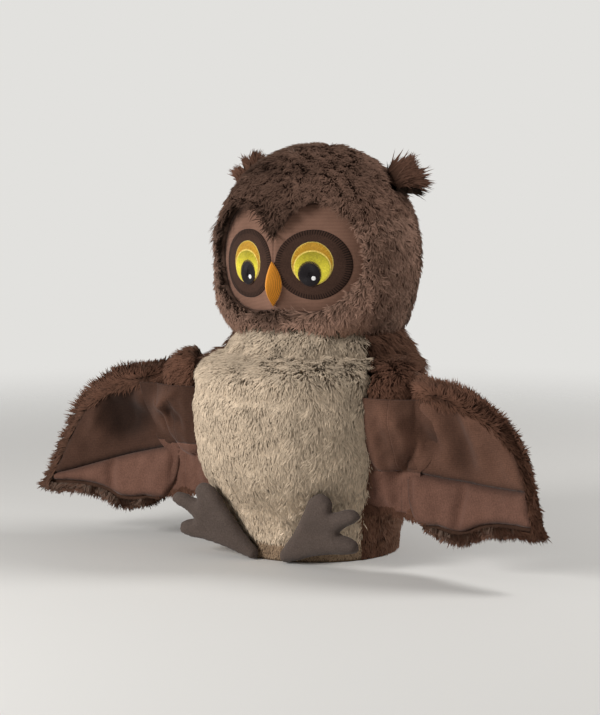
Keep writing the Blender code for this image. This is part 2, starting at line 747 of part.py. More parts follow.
def make_face(owl, cup):
    """Two velour face panels over the neck's hollow, and on each an eye of stacked cloth layers.

    Both eyes have their glint towards the owl's left.
    """
    half = face_half_outline()
    step = FACE_STEP
    shrink = SEAM / 2
    border = half.copy()
    border[:, 0] = np.maximum(border[:, 0], 0) + shrink
    count = max(3, round((border[0, 1] - border[-1, 1]) / step))
    middle = np.linspace(border[-1], border[0], count + 1)[1:-1]
    middle[:, 0] = shrink
    outline = np.vstack((border, middle))
    panel = cushion_mesh("face_panel_left", outline, step,
                         lambda flat, _: head_front(flat, HEAD_PLUSH),
                         lambda flat, _: face_surface(flat, 0), front_place)
    eye_x, eye_z = EYE_OFFSET, EYE_HEIGHT
    gold_z = eye_z + GOLD_RISE
    pupil_z = eye_z - PUPIL_DROP
    layers = [
        ("eye_disc", "disc", (eye_x, eye_z, DISC_HALF_WIDTH, DISC_HALF_HEIGHT), DISC_THICKNESS),
        ("eye_gold", "gold", (eye_x, gold_z, GOLD_HALF_WIDTH, GOLD_HALF_HEIGHT), LAYER_THICKNESS),
        ("eye_yellow", "yellow", (eye_x, gold_z - YELLOW_DROP, YELLOW_HALF_WIDTH, YELLOW_HALF_HEIGHT),
         LAYER_THICKNESS),
        ("pupil", "pupil", (eye_x, pupil_z, PUPIL_HALF_WIDTH, PUPIL_HALF_HEIGHT), LAYER_THICKNESS),
    ]
    meshes = [("face_panel", "face", panel)]
    lift = GAP
    for name, colour_name, shape, thickness in layers:
        mesh = face_layer(name + "_left", ellipse(*shape, EYE_SEGMENTS), min(shape[2] / 2, FACE_STEP),
                          lift, thickness)
        meshes.append((name, colour_name, mesh))
        lift += thickness + GAP
    for name, colour_name, mesh in meshes:
        other = mirrored(mesh, name + "_right")
        for full_name, shape in ((name + "_left", mesh), (name + "_right", other)):
            piece = owl.piece(full_name, shape, NECK_PIVOT, colour_name)
            if name == "face_panel":
                boolean(piece, cup)
    for side in (1, -1):
        name = side_name("glint", side)
        outline = ellipse(eye_x + side * GLINT_OFFSET, pupil_z - GLINT_DROP, GLINT_RADIUS, GLINT_RADIUS,
                          EYE_SEGMENTS // 2)
        glint = face_layer(name, outline, GLINT_RADIUS / 2, lift, LAYER_THICKNESS)
        owl.piece(name, glint if side > 0 else mirrored(glint, name), NECK_PIVOT, "glint")


def make_beak(owl):
    """The stuffed beak, pointed at both ends, with a ridge down its middle."""
    places = np.linspace(0, 1, BEAK_ROWS)
    widths = smooth_table(BEAK_WIDTH_SHARES, places)[:, 0] * BEAK_HALF_WIDTH
    heights = BEAK_TOP - places * BEAK_LENGTH
    right = np.column_stack((widths, heights))
    outline = np.vstack((right, right[-2:0:-1] * (-1, 1)))
    seat = 2 * GAP + DISC_THICKNESS

    def bulge(flat, _):
        place = np.clip((BEAK_TOP - flat[:, 1]) / BEAK_LENGTH, 0, 1)
        width = np.interp(place, places, widths) + GAP
        ridge = np.clip(1 - np.abs(flat[:, 0]) / width, 0, 1)
        fullness = np.sin(math.pi * place**BEAK_SWELL_POWER)
        return face_surface(flat, seat) - LAYER_THICKNESS - BEAK_DEPTH * fullness * ridge**BEAK_RIDGE_POWER

    mesh = cushion_mesh("beak", outline, BEAK_STEP, lambda flat, _: face_surface(flat, seat), bulge,
                        front_place)
    owl.piece("beak", mesh, NECK_PIVOT, "beak")


# Ear tufts

def tuft_frame():
    """Centre of the left tuft's ball, the direction it leans and the head's outward direction there."""
    toward = np.array((TUFT_SIDE, TUFT_BACK, TUFT_RISE))
    centre = head_points(toward[None] / np.linalg.norm(toward), TUFT_SINK)[0]
    width, depth, rise, _ = head_radii(TUFT_SINK)
    offset = centre - (0, 0, HEAD_HEIGHT)
    sizes = np.array((width, depth, rise))
    shares = np.abs(offset / sizes)
    plan = (shares[:2]**HEAD_PLAN_POWER).sum()**(1 / HEAD_PLAN_POWER)
    slopes = np.append(plan**(HEAD_TOP_POWER - HEAD_PLAN_POWER) * shares[:2]**(HEAD_PLAN_POWER - 1),
                       shares[2]**(HEAD_TOP_POWER - 1))
    outward = np.sign(offset) * slopes / sizes
    outward = outward / np.linalg.norm(outward)
    lean = np.array(TUFT_LEAN) / np.linalg.norm(TUFT_LEAN)
    return Vector(centre), Vector(lean), Vector(outward)


def make_tufts(owl):
    """Spiky ear tufts on small balls let into the head."""
    centre, lean, outward = tuft_frame()
    across = outward.cross(lean).normalized()
    up = lean.cross(across).normalized()
    outline = np.array(TUFT_OUTLINE_SHARES) * (TUFT_LENGTH, TUFT_HALF_WIDTH)
    axes = np.array((lean, across, up))

    def place(flat, height):
        return np.column_stack((flat, height)) @ axes + np.array(centre)

    def face(flat, distance):
        return crown(distance, TUFT_HALF_THICKNESS, GAP, TUFT_HALF_THICKNESS)

    blade = cushion_mesh("tuft_left", outline, TUFT_HALF_THICKNESS,
                         lambda flat, distance: -face(flat, distance), face, place)
    other = mirrored(blade, "tuft_right")
    for side, mesh in ((1, blade), (-1, other)):
        name = side_name("tuft", side)
        tuft = owl.piece(name, mesh, sided(centre, side), "tuft")
        ball = owl.cutter(name + "_ball", ball_mesh(name + "_ball", TUFT_BALL, TUFT_BALL_SEGMENTS),
                          sided(centre, side))
        boolean(tuft, ball, "UNION")


# Wings

def wing_place(flat, back):
    """Place flat wing points (out along the wing, up) and their offset to the back."""
    out, up = flat[:, 0], flat[:, 1]
    x = SHOULDER.x + out * math.cos(WING_TURN) + back * math.sin(WING_TURN)
    y = SHOULDER.y - out * math.sin(WING_TURN) + back * math.cos(WING_TURN)
    return np.column_stack((x, y, SHOULDER.z + up))


def wing_cup(flat):
    """Backward bulge of the wing's middle, which makes its inner side hollow."""
    centred = flat / (WING_LENGTH, WING_DROP) - np.array(WING_CUP_CENTRE_SHARES)
    reach = np.clip((centred**2).sum(1) / WING_CUP_REACH_SHARE**2, 0, 1)
    return WING_CUP * ((1 - reach)**2 - WING_CUP_RIM_SHARE)


def offset_outline(outline, distance):
    """Shrink a closed outline by moving each point inwards, without the loops that this makes at tips."""
    ahead = np.roll(outline, -1, axis=0) - np.roll(outline, 1, axis=0)
    normal = np.column_stack((-ahead[:, 1], ahead[:, 0]))
    normal /= np.linalg.norm(normal, axis=1)[:, None]
    area = (outline[:, 0] * np.roll(outline[:, 1], -1) - np.roll(outline[:, 0], -1) * outline[:, 1]).sum()
    moved = outline + normal * math.copysign(distance, area)
    return moved[edge_distance(moved, outline) > distance * OFFSET_SHARE]


def split_by_seam(outline, seam, above):
    """Part of an outline above or below the seam line, less half the seam's width."""
    level = np.interp(outline[:, 0], seam[:, 0], seam[:, 1])
    sign = 1 if above else -1
    keep = (outline[:, 1] - level) * sign > SEAM_MARGIN
    start = next(i for i in range(len(keep)) if keep[i] and not keep[i - 1])
    rest = [index % len(keep) for index in range(start, start + keep.sum())]
    kept = outline[rest]
    left, right = sorted((kept[0, 0], kept[-1, 0]))
    count = round((right - left) / OUTLINE_STEP)
    places = np.linspace(left, right, count + 1)
    if kept[-1, 0] > kept[0, 0]:
        places = places[::-1]
    line = np.column_stack((places, np.interp(places, seam[:, 0], seam[:, 1]) + sign * SEAM / 2))
    return np.vstack((kept, line))


def make_wings(owl):
    """Fur on the back of each wing and velour on its hollow front, cut to the shoulder ball."""
    outline = curve_through(np.array(WING_OUTLINE_SHARES) * (WING_LENGTH, WING_DROP), OUTLINE_STEP)
    velour = offset_outline(outline, FUR_RIM)
    seam = curve_through(np.array(WING_SEAM_SHARES) * (WING_LENGTH, WING_DROP), OUTLINE_STEP, closed=False)

    def back(flat, distance):
        return wing_cup(flat) + crown(distance, WING_ROUNDING, WING_EDGE / 2, WING_FUR)

    def middle(flat, _):
        return wing_cup(flat)

    def velour_back(flat, _):
        return wing_cup(flat) - GAP - VELOUR_SLACK

    def velour_front(flat, distance):
        return velour_back(flat, distance) - crown(distance, VELOUR_ROUNDING, WING_EDGE / 4, WING_VELOUR)

    step = WING_STEP
    meshes = [
        ("wing_fur", "back_fur", cushion_mesh("wing_fur_left", outline, step, middle, back, wing_place)),
        ("wing_velour", "velour", cushion_mesh("wing_velour_left", split_by_seam(velour, seam, True), step,
                                               velour_front, velour_back, wing_place)),
        ("wing_feathers", "feathers", cushion_mesh("wing_feathers_left", split_by_seam(velour, seam, False),
                                                   step, velour_front, velour_back, wing_place)),
    ]
    for side in (1, -1):
        pivot = sided(SHOULDER, side)
        hole = owl.cutter(side_name("wing_root", side),
                          ball_mesh("wing_root", SHOULDER_RADIUS + BALL_CLEARANCE, BALL_SEGMENTS), pivot)
        for name, colour_name, mesh in meshes:
            full_name = side_name(name, side)
            shape = mesh.copy() if side > 0 else mirrored(mesh, full_name)
            piece = owl.piece(full_name, shape, pivot, colour_name)
            boolean(piece, hole)
        name = side_name("shoulder", side)
        owl.piece(name, shoulder_mesh(name, side), pivot, "back_fur")


def shoulder_mesh(name, side):
    """The shoulder ball, placed at its own pivot."""
    mesh = ball_mesh(name, SHOULDER_RADIUS, BALL_SEGMENTS)
    mesh.transform(Matrix.Translation(sided(SHOULDER, side)))
    return mesh


# Feet

def make_feet(owl):
    """Flat stuffed feet with three toes, standing on their heels against the hem."""
    outline = curve_through(np.array(FOOT_OUTLINE_SHARES) * (FOOT_LENGTH, FOOT_RISE), FOOT_OUTLINE_STEP)
    hem_front = HEM_FORWARD + HEM_HALF_DEPTH * math.sqrt(1 - (FOOT_INNER / HEM_HALF_WIDTH)**2)
    heel = Vector((FOOT_INNER, -(hem_front + GAP + FOOT_HALF_THICKNESS - FOOT_NESTLE),
                   FOOT_HALF_THICKNESS + GAP))
    pivot = heel - Vector((0, FOOT_HINGE_FORWARD, FOOT_HINGE_DROP))

    def place(flat, back):
        x = heel.x + flat[:, 0]
        y = heel.y - flat[:, 1] * math.sin(FOOT_LEAN) + back * math.cos(FOOT_LEAN)
        z = heel.z + flat[:, 1] * math.cos(FOOT_LEAN) + back * math.sin(FOOT_LEAN)
        return np.column_stack((x, y, z))

    def back(flat, distance):
        return crown(distance, FOOT_ROUNDING, FOOT_EDGE, FOOT_HALF_THICKNESS)

    mesh = cushion_mesh("foot_left", outline, FACE_STEP, lambda flat, d: -back(flat, d), back, place)
    other = mirrored(mesh, "foot_right")
    owl.piece("foot_left", mesh, pivot, "foot")
    owl.piece("foot_right", other, sided(pivot, -1), "foot")


def make_head(owl):
    """Head skin, stuffing, face, beak and tufts, hollowed over the neck."""
    cup = owl.cutter("neck_cup", ball_mesh("neck_cup", CUP_RADIUS, CUP_SEGMENTS), NECK_PIVOT)
    centre = tuft_frame()[0]
    tuft_holes = []
    for side in (1, -1):
        name = side_name("tuft_hole", side)
        tuft_holes.append(owl.cutter(name, ball_mesh(name, TUFT_BALL + BALL_CLEARANCE, TUFT_BALL_SEGMENTS),
                                     sided(centre, side)))
    make_head_skin(owl, cup, tuft_holes)
    make_head_core(owl, cup, tuft_holes)
    make_face(owl, cup)
    make_beak(owl)
    make_tufts(owl)


def main():
    """Build the whole owl."""
    clear_scene()
    owl = Owl()
    make_body(owl)
    make_neck(owl)
    make_head(owl)
    make_wings(owl)
    make_feet(owl)


main()
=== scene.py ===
"""Looks of a stuffed owl glove puppet: fur, velour, felt, embroidery and a plain stage.

Metres, +Z up. The owl looks along -Y and its left side is +X.
"""
import math

import bmesh
import bpy
import numpy as np
from bpy.props import FloatProperty, FloatVectorProperty, PointerProperty
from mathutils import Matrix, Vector
from mathutils.geometry import delaunay_2d_cdt


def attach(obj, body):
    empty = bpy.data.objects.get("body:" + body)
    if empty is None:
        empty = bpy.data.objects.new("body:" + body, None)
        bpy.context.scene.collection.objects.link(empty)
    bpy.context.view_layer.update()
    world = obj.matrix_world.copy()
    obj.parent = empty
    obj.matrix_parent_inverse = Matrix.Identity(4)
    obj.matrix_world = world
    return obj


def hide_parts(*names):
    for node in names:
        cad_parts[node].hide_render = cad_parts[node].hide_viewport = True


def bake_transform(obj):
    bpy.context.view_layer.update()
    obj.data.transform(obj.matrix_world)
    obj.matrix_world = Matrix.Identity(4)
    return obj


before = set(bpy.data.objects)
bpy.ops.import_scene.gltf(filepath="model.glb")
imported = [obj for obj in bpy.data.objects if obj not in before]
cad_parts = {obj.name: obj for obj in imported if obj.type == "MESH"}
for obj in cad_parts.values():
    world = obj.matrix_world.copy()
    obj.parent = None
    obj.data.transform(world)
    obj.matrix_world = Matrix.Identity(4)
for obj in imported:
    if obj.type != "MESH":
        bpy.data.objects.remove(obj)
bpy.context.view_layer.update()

bl_info = {
    "name": "Stuffed Owl Glove Puppet",
    "version": (1, 0, 0),
    "blender": (4, 5, 0),
    "location": "View3D > Sidebar > Owl",
    "description": "Fur, velour, felt and embroidery of a stuffed owl glove puppet",
    "category": "Object",
}

# Sizes shared with the solids
FORWARD = 0.014
NECK_PIVOT_HEIGHT = 0.130
DOME_RADIUS = 0.076
COLLAR_RISE = 0.025
COLLAR_HEIGHT = NECK_PIVOT_HEIGHT + COLLAR_RISE
NECK_HOLE_RADIUS = 0.030
HEM_HALF_WIDTH, CHEST_HALF_WIDTH = 0.068, 0.088
HEM_HALF_DEPTH, CHEST_HALF_DEPTH = 0.066, 0.092
HEM_FORWARD, CHEST_FORWARD = 0.006, 0.014
HEM_BAND_HEIGHT = 0.014
BODY_PLUSH = 0.006
BODY_LINING = 0.0016
BELLY_HALF_ANGLE = math.radians(62.0)
TORSO_SWELL_SHARES = ((0.0, 0.0), (0.12, 0.08), (0.24, 0.27), (0.43, 0.80), (0.62, 1.0), (0.83, 0.98),
                      (0.95, 0.70))
RING_THICKNESS = 0.002
NECK_CLEARANCE = 0.0005
RING_ANGLES = (math.radians(27.0), math.radians(50.0))
CUP_RADIUS = 0.0815
HEAD_HEIGHT = 0.234
HEAD_SIZE = (0.082, 0.072, 0.085, 0.090)
HEAD_PLAN_POWER, HEAD_TOP_POWER, HEAD_CHIN_POWER = 2.1, 2.1, 3.0
HEAD_PLUSH = 0.014
HEAD_CORE = 0.0154
BACK_SEAM_ANGLE = math.radians(98.0)
CROWN_SHARES = (0.19, 0.81)
CHIN_SHARES = (0.30, 0.70)
FACE_HEIGHT = 0.2315
FACE_HALF_WIDTH, FACE_HALF_HEIGHT = 0.0635, 0.041
FACE_SEAM_RECESS, FACE_RECESS = 0.003, 0.0115
FACE_SLOPE_REACH = 0.034
FACE_BULGE = 0.001
FACE_OUTLINE_SHARES = ((0.0, 0.40), (0.10, 0.62), (0.24, 0.90), (0.45, 1.0), (0.72, 0.86), (0.93, 0.45),
                       (1.0, 0.03), (0.93, -0.45), (0.75, -0.80), (0.49, -0.99), (0.22, -1.0), (0.0, -0.97))
EYE_OFFSET, EYE_HEIGHT = 0.0285, 0.2262
DISC_HALF_WIDTH, DISC_HALF_HEIGHT = 0.0268, 0.0264
BEAK_TOP, BEAK_LENGTH = 0.2285, 0.0340
BEAK_HALF_WIDTH, BEAK_DEPTH = 0.0064, 0.0090
BEAK_WIDTH_SHARES = ((0.0, 0.0), (0.12, 0.42), (0.35, 0.92), (0.55, 1.0), (0.80, 0.62), (1.0, 0.0))
FINGER_RADIUS, FINGER_WALL, FINGER_DEPTH = 0.0105, 0.0015, 0.052
TUFT_CENTRE = (0.062394, 0.004952, 0.289461)
TUFT_LEAN = (0.6185, 0.7382, 0.2693)
TUFT_OUTWARD = (0.7741, 0.0629, 0.6300)
RIGHT_TUFT_LEAN = (0.36, 0.42, 0.83)
TUFT_BALL, TUFT_LENGTH, TUFT_HALF_WIDTH = 0.0075, 0.036, 0.0125
SHOULDER = (0.089, -0.040, 0.130)
SHOULDER_RADIUS = 0.024
WING_TURN = math.radians(10.0)
WING_LENGTH, WING_DROP = 0.137, 0.104
WING_FUR, WING_VELOUR = 0.0085, 0.0045
WING_CUP = 0.016
FUR_RIM = 0.0088
FUR_INSET = 0.0045
WING_OUTLINE_SHARES = ((0.02, 0.17), (0.14, 0.17), (0.32, 0.12), (0.53, 0.045), (0.66, -0.04), (0.76, -0.16),
                       (0.84, -0.33), (0.90, -0.49), (0.945, -0.64), (0.99, -0.79), (1.0, -0.87),
                       (0.93, -0.90), (0.80, -0.905), (0.69, -0.915), (0.60, -0.94), (0.50, -0.995),
                       (0.38, -1.0), (0.27, -0.97), (0.17, -0.90), (0.11, -0.76), (0.085, -0.55),
                       (0.080, -0.35), (0.075, -0.20), (0.05, -0.08))
WING_SEAMS = {
    "left": ((-0.10, -0.50), (0.10, -0.54), (0.26, -0.57), (0.45, -0.59), (0.66, -0.60), (0.86, -0.59),
             (1.10, -0.57)),
    "right": ((-0.10, -0.42), (0.10, -0.49), (0.26, -0.54), (0.45, -0.60), (0.66, -0.68), (0.86, -0.755),
              (1.10, -0.81)),
}
FOOT_LEAN = math.radians(12.0)
FOOT_LENGTH, FOOT_RISE = 0.073, 0.054
FOOT_HEEL = (0.010, -0.074782, 0.0045)
FOOT_HALF_THICKNESS = 0.0042
FOOT_OUTLINE_SHARES = ((0.0, 0.02), (0.06, 0.16), (0.17, 0.34), (0.33, 0.68), (0.45, 0.94), (0.52, 1.0),
                       (0.61, 1.0), (0.685, 0.90), (0.675, 0.76), (0.74, 0.77), (0.83, 0.815), (0.95, 0.81),
                       (0.995, 0.73), (0.95, 0.66), (0.82, 0.56), (0.74, 0.46), (0.86, 0.40), (0.93, 0.34),
                       (0.93, 0.22), (0.84, 0.17), (0.62, 0.13), (0.40, 0.07), (0.15, -0.04), (0.03, -0.06))

CLOTH_DEPTH = 0.0025
HEM_CLOTH_DEPTH = 0.0012
HEAD_CLOTH_DEPTH = 0.0042
# Room round a ball, for the cloth and for the fur
SOCKET_ROOM = 0.0005
FUR_ROOM = 0.0015
TOUCH = 1e-5

# Locks of fur: most in one piece, points of each, how deep it is rooted, and its arch
FUR_PATCH = 19900
LOCK_POINTS = 7
LOCK_ROOT = 0.0006
LOCK_ARCH = 1.5
# Fur of the body: locks per square metre, rise, width of a clump, and pull to the clump's middle
BELLY_LAY, BACK_LAY = (1.06 * 1e6, 0.60, 0.0042, 0.10), (0.60 * 1e6, 0.55, 0.0040, 0.45)
HEM_FRONT_LAY, HEM_BACK_LAY = (2.2 * 1e6, 0.7, 0.0016, 0.3), (1.8 * 1e6, 0.6, 0.0020, 0.3)
# Locks per square metre elsewhere
HEAD_DENSITY, NAPE_DENSITY = 1.02e6, 0.70e6
TUFT_LOCKS = 2600

# Shading
NAP_SPECULAR = 0.08
SHEEN_ROUGHNESS = 0.45
FUR_ROUGHNESS = 0.85
FUR_SHEEN_TINT = (0.75, 0.55, 0.43, 1)
# Share of a fur's tone kept in its ground cloth: painted shade between the locks
GROUND_PAINTED_SHADE = 0.45
TIP_START = 0.75
NOISE_RANGE = (0.3, 0.7)
# Noise scale and detail of the fur, and the shades that it makes
BROAD_MOTTLE, FINE_MOTTLE = (38.0, 3.0, 0.86, 1.12), (260.0, 2.0, 0.9, 1.1)
# Noise of the nap: scale, detail and, for the cloud, roughness
GRAIN, CLOUD = (900.0, 3.0), (55.0, 5.0, 0.6)
GRAIN_SHADES = (0.78, 1.18)
RIM_STITCHES = 84.0
STITCH_BAND_SHARES = (0.84, 0.88)
STITCH_SHADE = 0.30


def linear(red, green, blue):
    """Screen colour 0..255 as scene linear: ((c / 255 + 0.055) / 1.055) to the power 2.4."""
    return tuple(((value / 255 + 0.055) / 1.055)**2.4 for value in (red, green, blue))


def colour(name, description, red, green, blue):
    """A colour property whose default is given on the screen's scale."""
    return FloatVectorProperty(name=name, description=description, subtype="COLOR", size=3, min=0, max=1,
                               default=linear(red, green, blue))


def length(name, description, value):
    """A length property in metres."""
    return FloatProperty(name=name, description=description, default=value, min=0.0001, max=0.05,
                         subtype="DISTANCE", unit="LENGTH", precision=5)


class OwlPile(bpy.types.PropertyGroup):
    """Lengths of the fur."""
    belly: length("Belly pile", "Length of the beige fur", 0.0085)
    head: length("Head pile", "Length of the fur on the head", 0.0092)
    back: length("Back pile", "Length of the fur on the back", 0.0092)
    wing: length("Wing pile", "Length of the fur on the wings", 0.0090)
    tuft: length("Tufts", "Length of the spiky ear tufts", 0.026)
    hem: length("Hem pile", "Length of the short pile on the hem", 0.0030)
    strand: length("Lock width", "Width of one lock of fur at its root", 0.00100)


class OwlColours(bpy.types.PropertyGroup):
    """Colours of the cloths."""
    belly: colour("Belly", "Beige fur", 204, 184, 160)
    head: colour("Head", "Fur of the cheeks and chin", 126, 99, 85)
    crown: colour("Crown", "Darker fur of the crown", 93, 71, 60)
    neck: colour("Neck", "Cloth inside the neck", 62, 45, 37)
    wing: colour("Wings", "Fur of the wings and shoulders", 94, 66, 53)
    back: colour("Back", "Dark brown fur of the back and the wings", 99, 71, 57)
    tuft: colour("Tufts", "Reddish brown fur of the ear tufts", 92, 66, 54)
    hem: colour("Hem", "Short pile of the hem", 150, 127, 104)
    face: colour("Face", "Velour of the face", 122, 91, 76)
    disc: colour("Eye discs", "Felt round the eyes", 62, 44, 36)
    amber: colour("Amber", "Embroidery of the upper eye", 176, 132, 40)
    cream: colour("Cream", "Outline embroidery of the eye", 222, 196, 100)
    yellow: colour("Yellow", "Embroidery of the inner eye", 214, 200, 66)
    olive: colour("Olive", "Upper shade of the inner eye", 150, 138, 34)
    pupil: colour("Pupil", "Black embroidery", 30, 26, 28)
    beak: colour("Beak", "Satin of the beak", 228, 148, 48)
    velour: colour("Wing velour", "Dark velour inside the wings", 80, 56, 45)
    feather: colour("Feather velour", "Lighter velour along the wings' lower edge", 104, 74, 62)
    foot: colour("Feet", "Grey velour of the feet", 82, 71, 65)
    lining: colour("Lining", "Plain cloth inside the sleeve", 150, 132, 112)
    filling: colour("Filling", "Fibre filling of the head", 224, 220, 210)


class OwlStage(bpy.types.PropertyGroup):
    """Floor, lamps and camera."""
    floor: colour("Floor", "Pale floor", 224, 222, 218)
    background: colour("Background", "Pale background", 226, 225, 222)
    key: FloatProperty(name="Key lamp", description="Power of the main lamp", default=19, min=0, unit="POWER")
    fill: FloatProperty(name="Fill lamp", description="Power of the fill lamp", default=2.5, min=0, unit="POWER")
    rim: FloatProperty(name="Rim lamp", description="Power of the lamp behind", default=11, min=0, unit="POWER")
    azimuth: FloatProperty(name="Azimuth", description="Camera's turn round the owl", default=math.radians(30),
                           subtype="ANGLE")
    elevation: FloatProperty(name="Elevation", description="Camera's angle above the floor",
                             default=math.radians(5.5), subtype="ANGLE")
    distance: FloatProperty(name="Distance", description="Camera to the owl", default=1.4, unit="LENGTH")
    lens: FloatProperty(name="Lens", description="Focal length in millimetres", default=89.0, min=10)


# Curves and outlines

def mix(first, second, share):
    """Blend two values: first + (second - first) * share."""
    return first + (second - first) * share


def ramp(value, span):
    """Share of a span that a value has reached, from 0 to 1."""
    return np.clip(value / span, 0, 1)


def bell(gap, width):
    """Bell curve exp(-(gap / width)^2)."""
    return np.exp(-(gap / width)**2)


def unit(vectors):
    """Vectors brought to length 1."""
    return vectors / np.linalg.norm(vectors, axis=-1, keepdims=True)


def turns(count):
    """Equal angles of one full turn."""
    return np.linspace(0, 2 * math.pi, count + 1)[:-1]


def upright(flat, depths):
    """Points of flat (x, z) at depths y."""
    return np.stack((flat[..., 0], depths, flat[..., 1]), -1)


def ripples(points, size, seeds):
    """One ripple for each seed, side by side."""
    return np.stack([ripple(points, size, seed) for seed in seeds], -1)


def smooth_table(rows, places):
    """Cubic Hermite curve through rows of (place, values...), with slopes from the neighbours."""
    rows = np.asarray(rows, float)
    knots, values = rows[:, 0], rows[:, 1:]
    slopes = np.gradient(values, knots, axis=0)
    places = np.clip(np.atleast_1d(places), knots[0], knots[-1])
    index = np.clip(np.searchsorted(knots, places, side="right") - 1, 0, len(knots) - 2)
    span = (knots[index + 1] - knots[index])[:, None]
    t = (places - knots[index])[:, None] / span
    return ((2 * t**3 - 3 * t**2 + 1) * values[index] + (t**3 - 2 * t**2 + t) * slopes[index] * span
            + (3 * t**2 - 2 * t**3) * values[index + 1] + (t**3 - t**2) * slopes[index + 1] * span)


def curve_through(points, step, closed=True):
    """Smooth curve through given points, cut into equal runs of about one step."""
    points = np.asarray(points, float)
    if closed:
        points = np.vstack((points, points[:1]))
    runs = np.r_[0, np.cumsum(np.linalg.norm(np.diff(points, axis=0), axis=1))]
    count = max(8, int(round(runs[-1] / step)))
    places = np.linspace(0, runs[-1], count + 1)
    if closed:
        points = np.vstack((points[-2], points, points[1]))
        runs = np.r_[runs[-2] - runs[-1], runs, runs[-1] + runs[1]]
        places = places[:-1]
    return smooth_table(np.column_stack((runs, points)), places)


def edge_distance(points, outline):
    """Distance of flat points to the nearest side of a closed outline."""
    along = np.roll(outline, -1, axis=0) - outline
    offset = points[:, None, :] - outline[None]
    share = np.clip((offset * along).sum(2) / (along * along).sum(1), 0, 1)
    return np.linalg.norm(offset - share[..., None] * along, axis=2).min(1)


def is_inside(points, outline):
    """Even-odd rule: a point is inside when a level ray crosses the outline an odd number of times."""
    x, y = points[:, :1], points[:, 1:]
    ax, ay = outline.T
    bx, by = np.roll(outline, -1, axis=0).T
    run = np.where(by == ay, 1.0, by - ay)
    return (((ay > y) != (by > y)) & (x < ax + (y - ay) * (bx - ax) / run)).sum(1) % 2 == 1


def shrunk(outline, distance):
    """Closed outline moved inwards by a distance, with the points that loop at tips left out."""
    ahead = np.roll(outline, -1, axis=0) - np.roll(outline, 1, axis=0)
    normal = np.column_stack((-ahead[:, 1], ahead[:, 0])) / np.linalg.norm(ahead, axis=1)[:, None]
    area = (outline[:, 0] * np.roll(outline[:, 1], -1) - np.roll(outline[:, 0], -1) * outline[:, 1]).sum()
    moved = outline + normal * np.reshape(distance * np.sign(area), (-1, 1))
    return moved[edge_distance(moved, outline) > distance * 0.93]


def ripple(points, size, seed):
    """Smooth noise from -1 to 1: the mean of seven sine waves of about one size in random directions."""
    rng = np.random.default_rng(seed)
    waves = rng.normal(size=(7, points.shape[-1]))
    waves *= (rng.uniform(0.7, 1.4, 7) * 2 * math.pi / size / np.linalg.norm(waves, axis=1))[:, None]
    return np.sin(points @ waves.T + rng.uniform(0, 2 * math.pi, 7)).sum(-1) / 3.5


# Meshes

def mesh_of(name, points, quads=(), triangles=()):
    """Mesh from arrays of points, four sided faces and three sided faces."""
    quads = np.asarray(quads, np.int64).reshape(-1, 4)
    triangles = np.asarray(triangles, np.int64).reshape(-1, 3)
    mesh = bpy.data.meshes.new(name)
    mesh.vertices.add(len(points))
    mesh.vertices.foreach_set("co", np.ascontiguousarray(points, np.float32).ravel())
    corners = np.concatenate((quads.ravel(), triangles.ravel()))
    mesh.loops.add(len(corners))
    mesh.loops.foreach_set("vertex_index", corners.astype(np.int32))
    starts = np.concatenate((np.arange(len(quads)) * 4, len(quads) * 4 + np.arange(len(triangles)) * 3))
    mesh.polygons.add(len(starts))
    mesh.polygons.foreach_set("loop_start", starts.astype(np.int32))
    mesh.update(calc_edges=True)
    return mesh


def grid_quads(rows, columns, start=0, wrap=False):
    """Faces of a grid of points, row by row, closed round its columns on request."""
    row, column = np.meshgrid(np.arange(rows - 1), np.arange(columns - (not wrap)), indexing="ij")
    a = row * columns + column
    b = row * columns + (column + 1) % columns
    return start + np.stack((a, b, b + columns, a + columns), -1).reshape(-1, 4)


def faced_out(mesh):
    """Weld doubled points and point all faces out of the closed surface."""
    work = bmesh.new()
    work.from_mesh(mesh)
    bmesh.ops.remove_doubles(work, verts=work.verts, dist=TOUCH)
    bmesh.ops.dissolve_degenerate(work, edges=work.edges, dist=TOUCH)
    bmesh.ops.recalc_face_normals(work, faces=work.faces)
    work.to_mesh(mesh)
    work.free()
    return mesh


def shell(name, outer, inner, wrap=False):
    """Closed wall between an outer and an inner grid, joined along their free edges."""
    rows, columns = outer.shape[:2]
    count = rows * columns
    here, other = np.arange(count).reshape(rows, columns), np.arange(count, 2 * count).reshape(rows, columns)
    quads = [grid_quads(rows, columns, 0, wrap), grid_quads(rows, columns, count, wrap)[:, ::-1]]
    for edge in (0, -1):
        near, far = here[edge], other[edge]
        if wrap:
            near, far = np.append(near, near[0]), np.append(far, far[0])
        quads.append(np.column_stack((near[:-1], far[:-1], far[1:], near[1:])))
        if not wrap:
            near, far = here[:, edge], other[:, edge]
            quads.append(np.column_stack((near[:-1], near[1:], far[1:], far[:-1])))
    points = np.concatenate((outer.reshape(-1, 3), inner.reshape(-1, 3)))
    return faced_out(mesh_of(name, points, np.concatenate(quads)))


def plate(outline, step):
    """Triangulated flat plate: staggered grid points inside an outline, with their distance to it."""
    low, high = outline.min(0), outline.max(0)
    x, y = np.meshgrid(np.arange(low[0], high[0], step), np.arange(low[1], high[1], step * 0.87))
    x = x + (np.arange(len(x)) % 2)[:, None] * step / 2
    grid = np.column_stack((x.ravel(), y.ravel()))
    grid = grid[is_inside(grid, outline)]
    grid = grid[edge_distance(grid, outline) > step * 0.55]
    flat = np.vstack((outline, grid))
    corners, _, faces, *_ = delaunay_2d_cdt([Vector(point) for point in flat], [], [list(range(len(outline)))],
                                            1, TOUCH / 100)
    flat = np.array([corner[:] for corner in corners])
    return flat, np.array([face[:] for face in faces]), edge_distance(flat, outline)


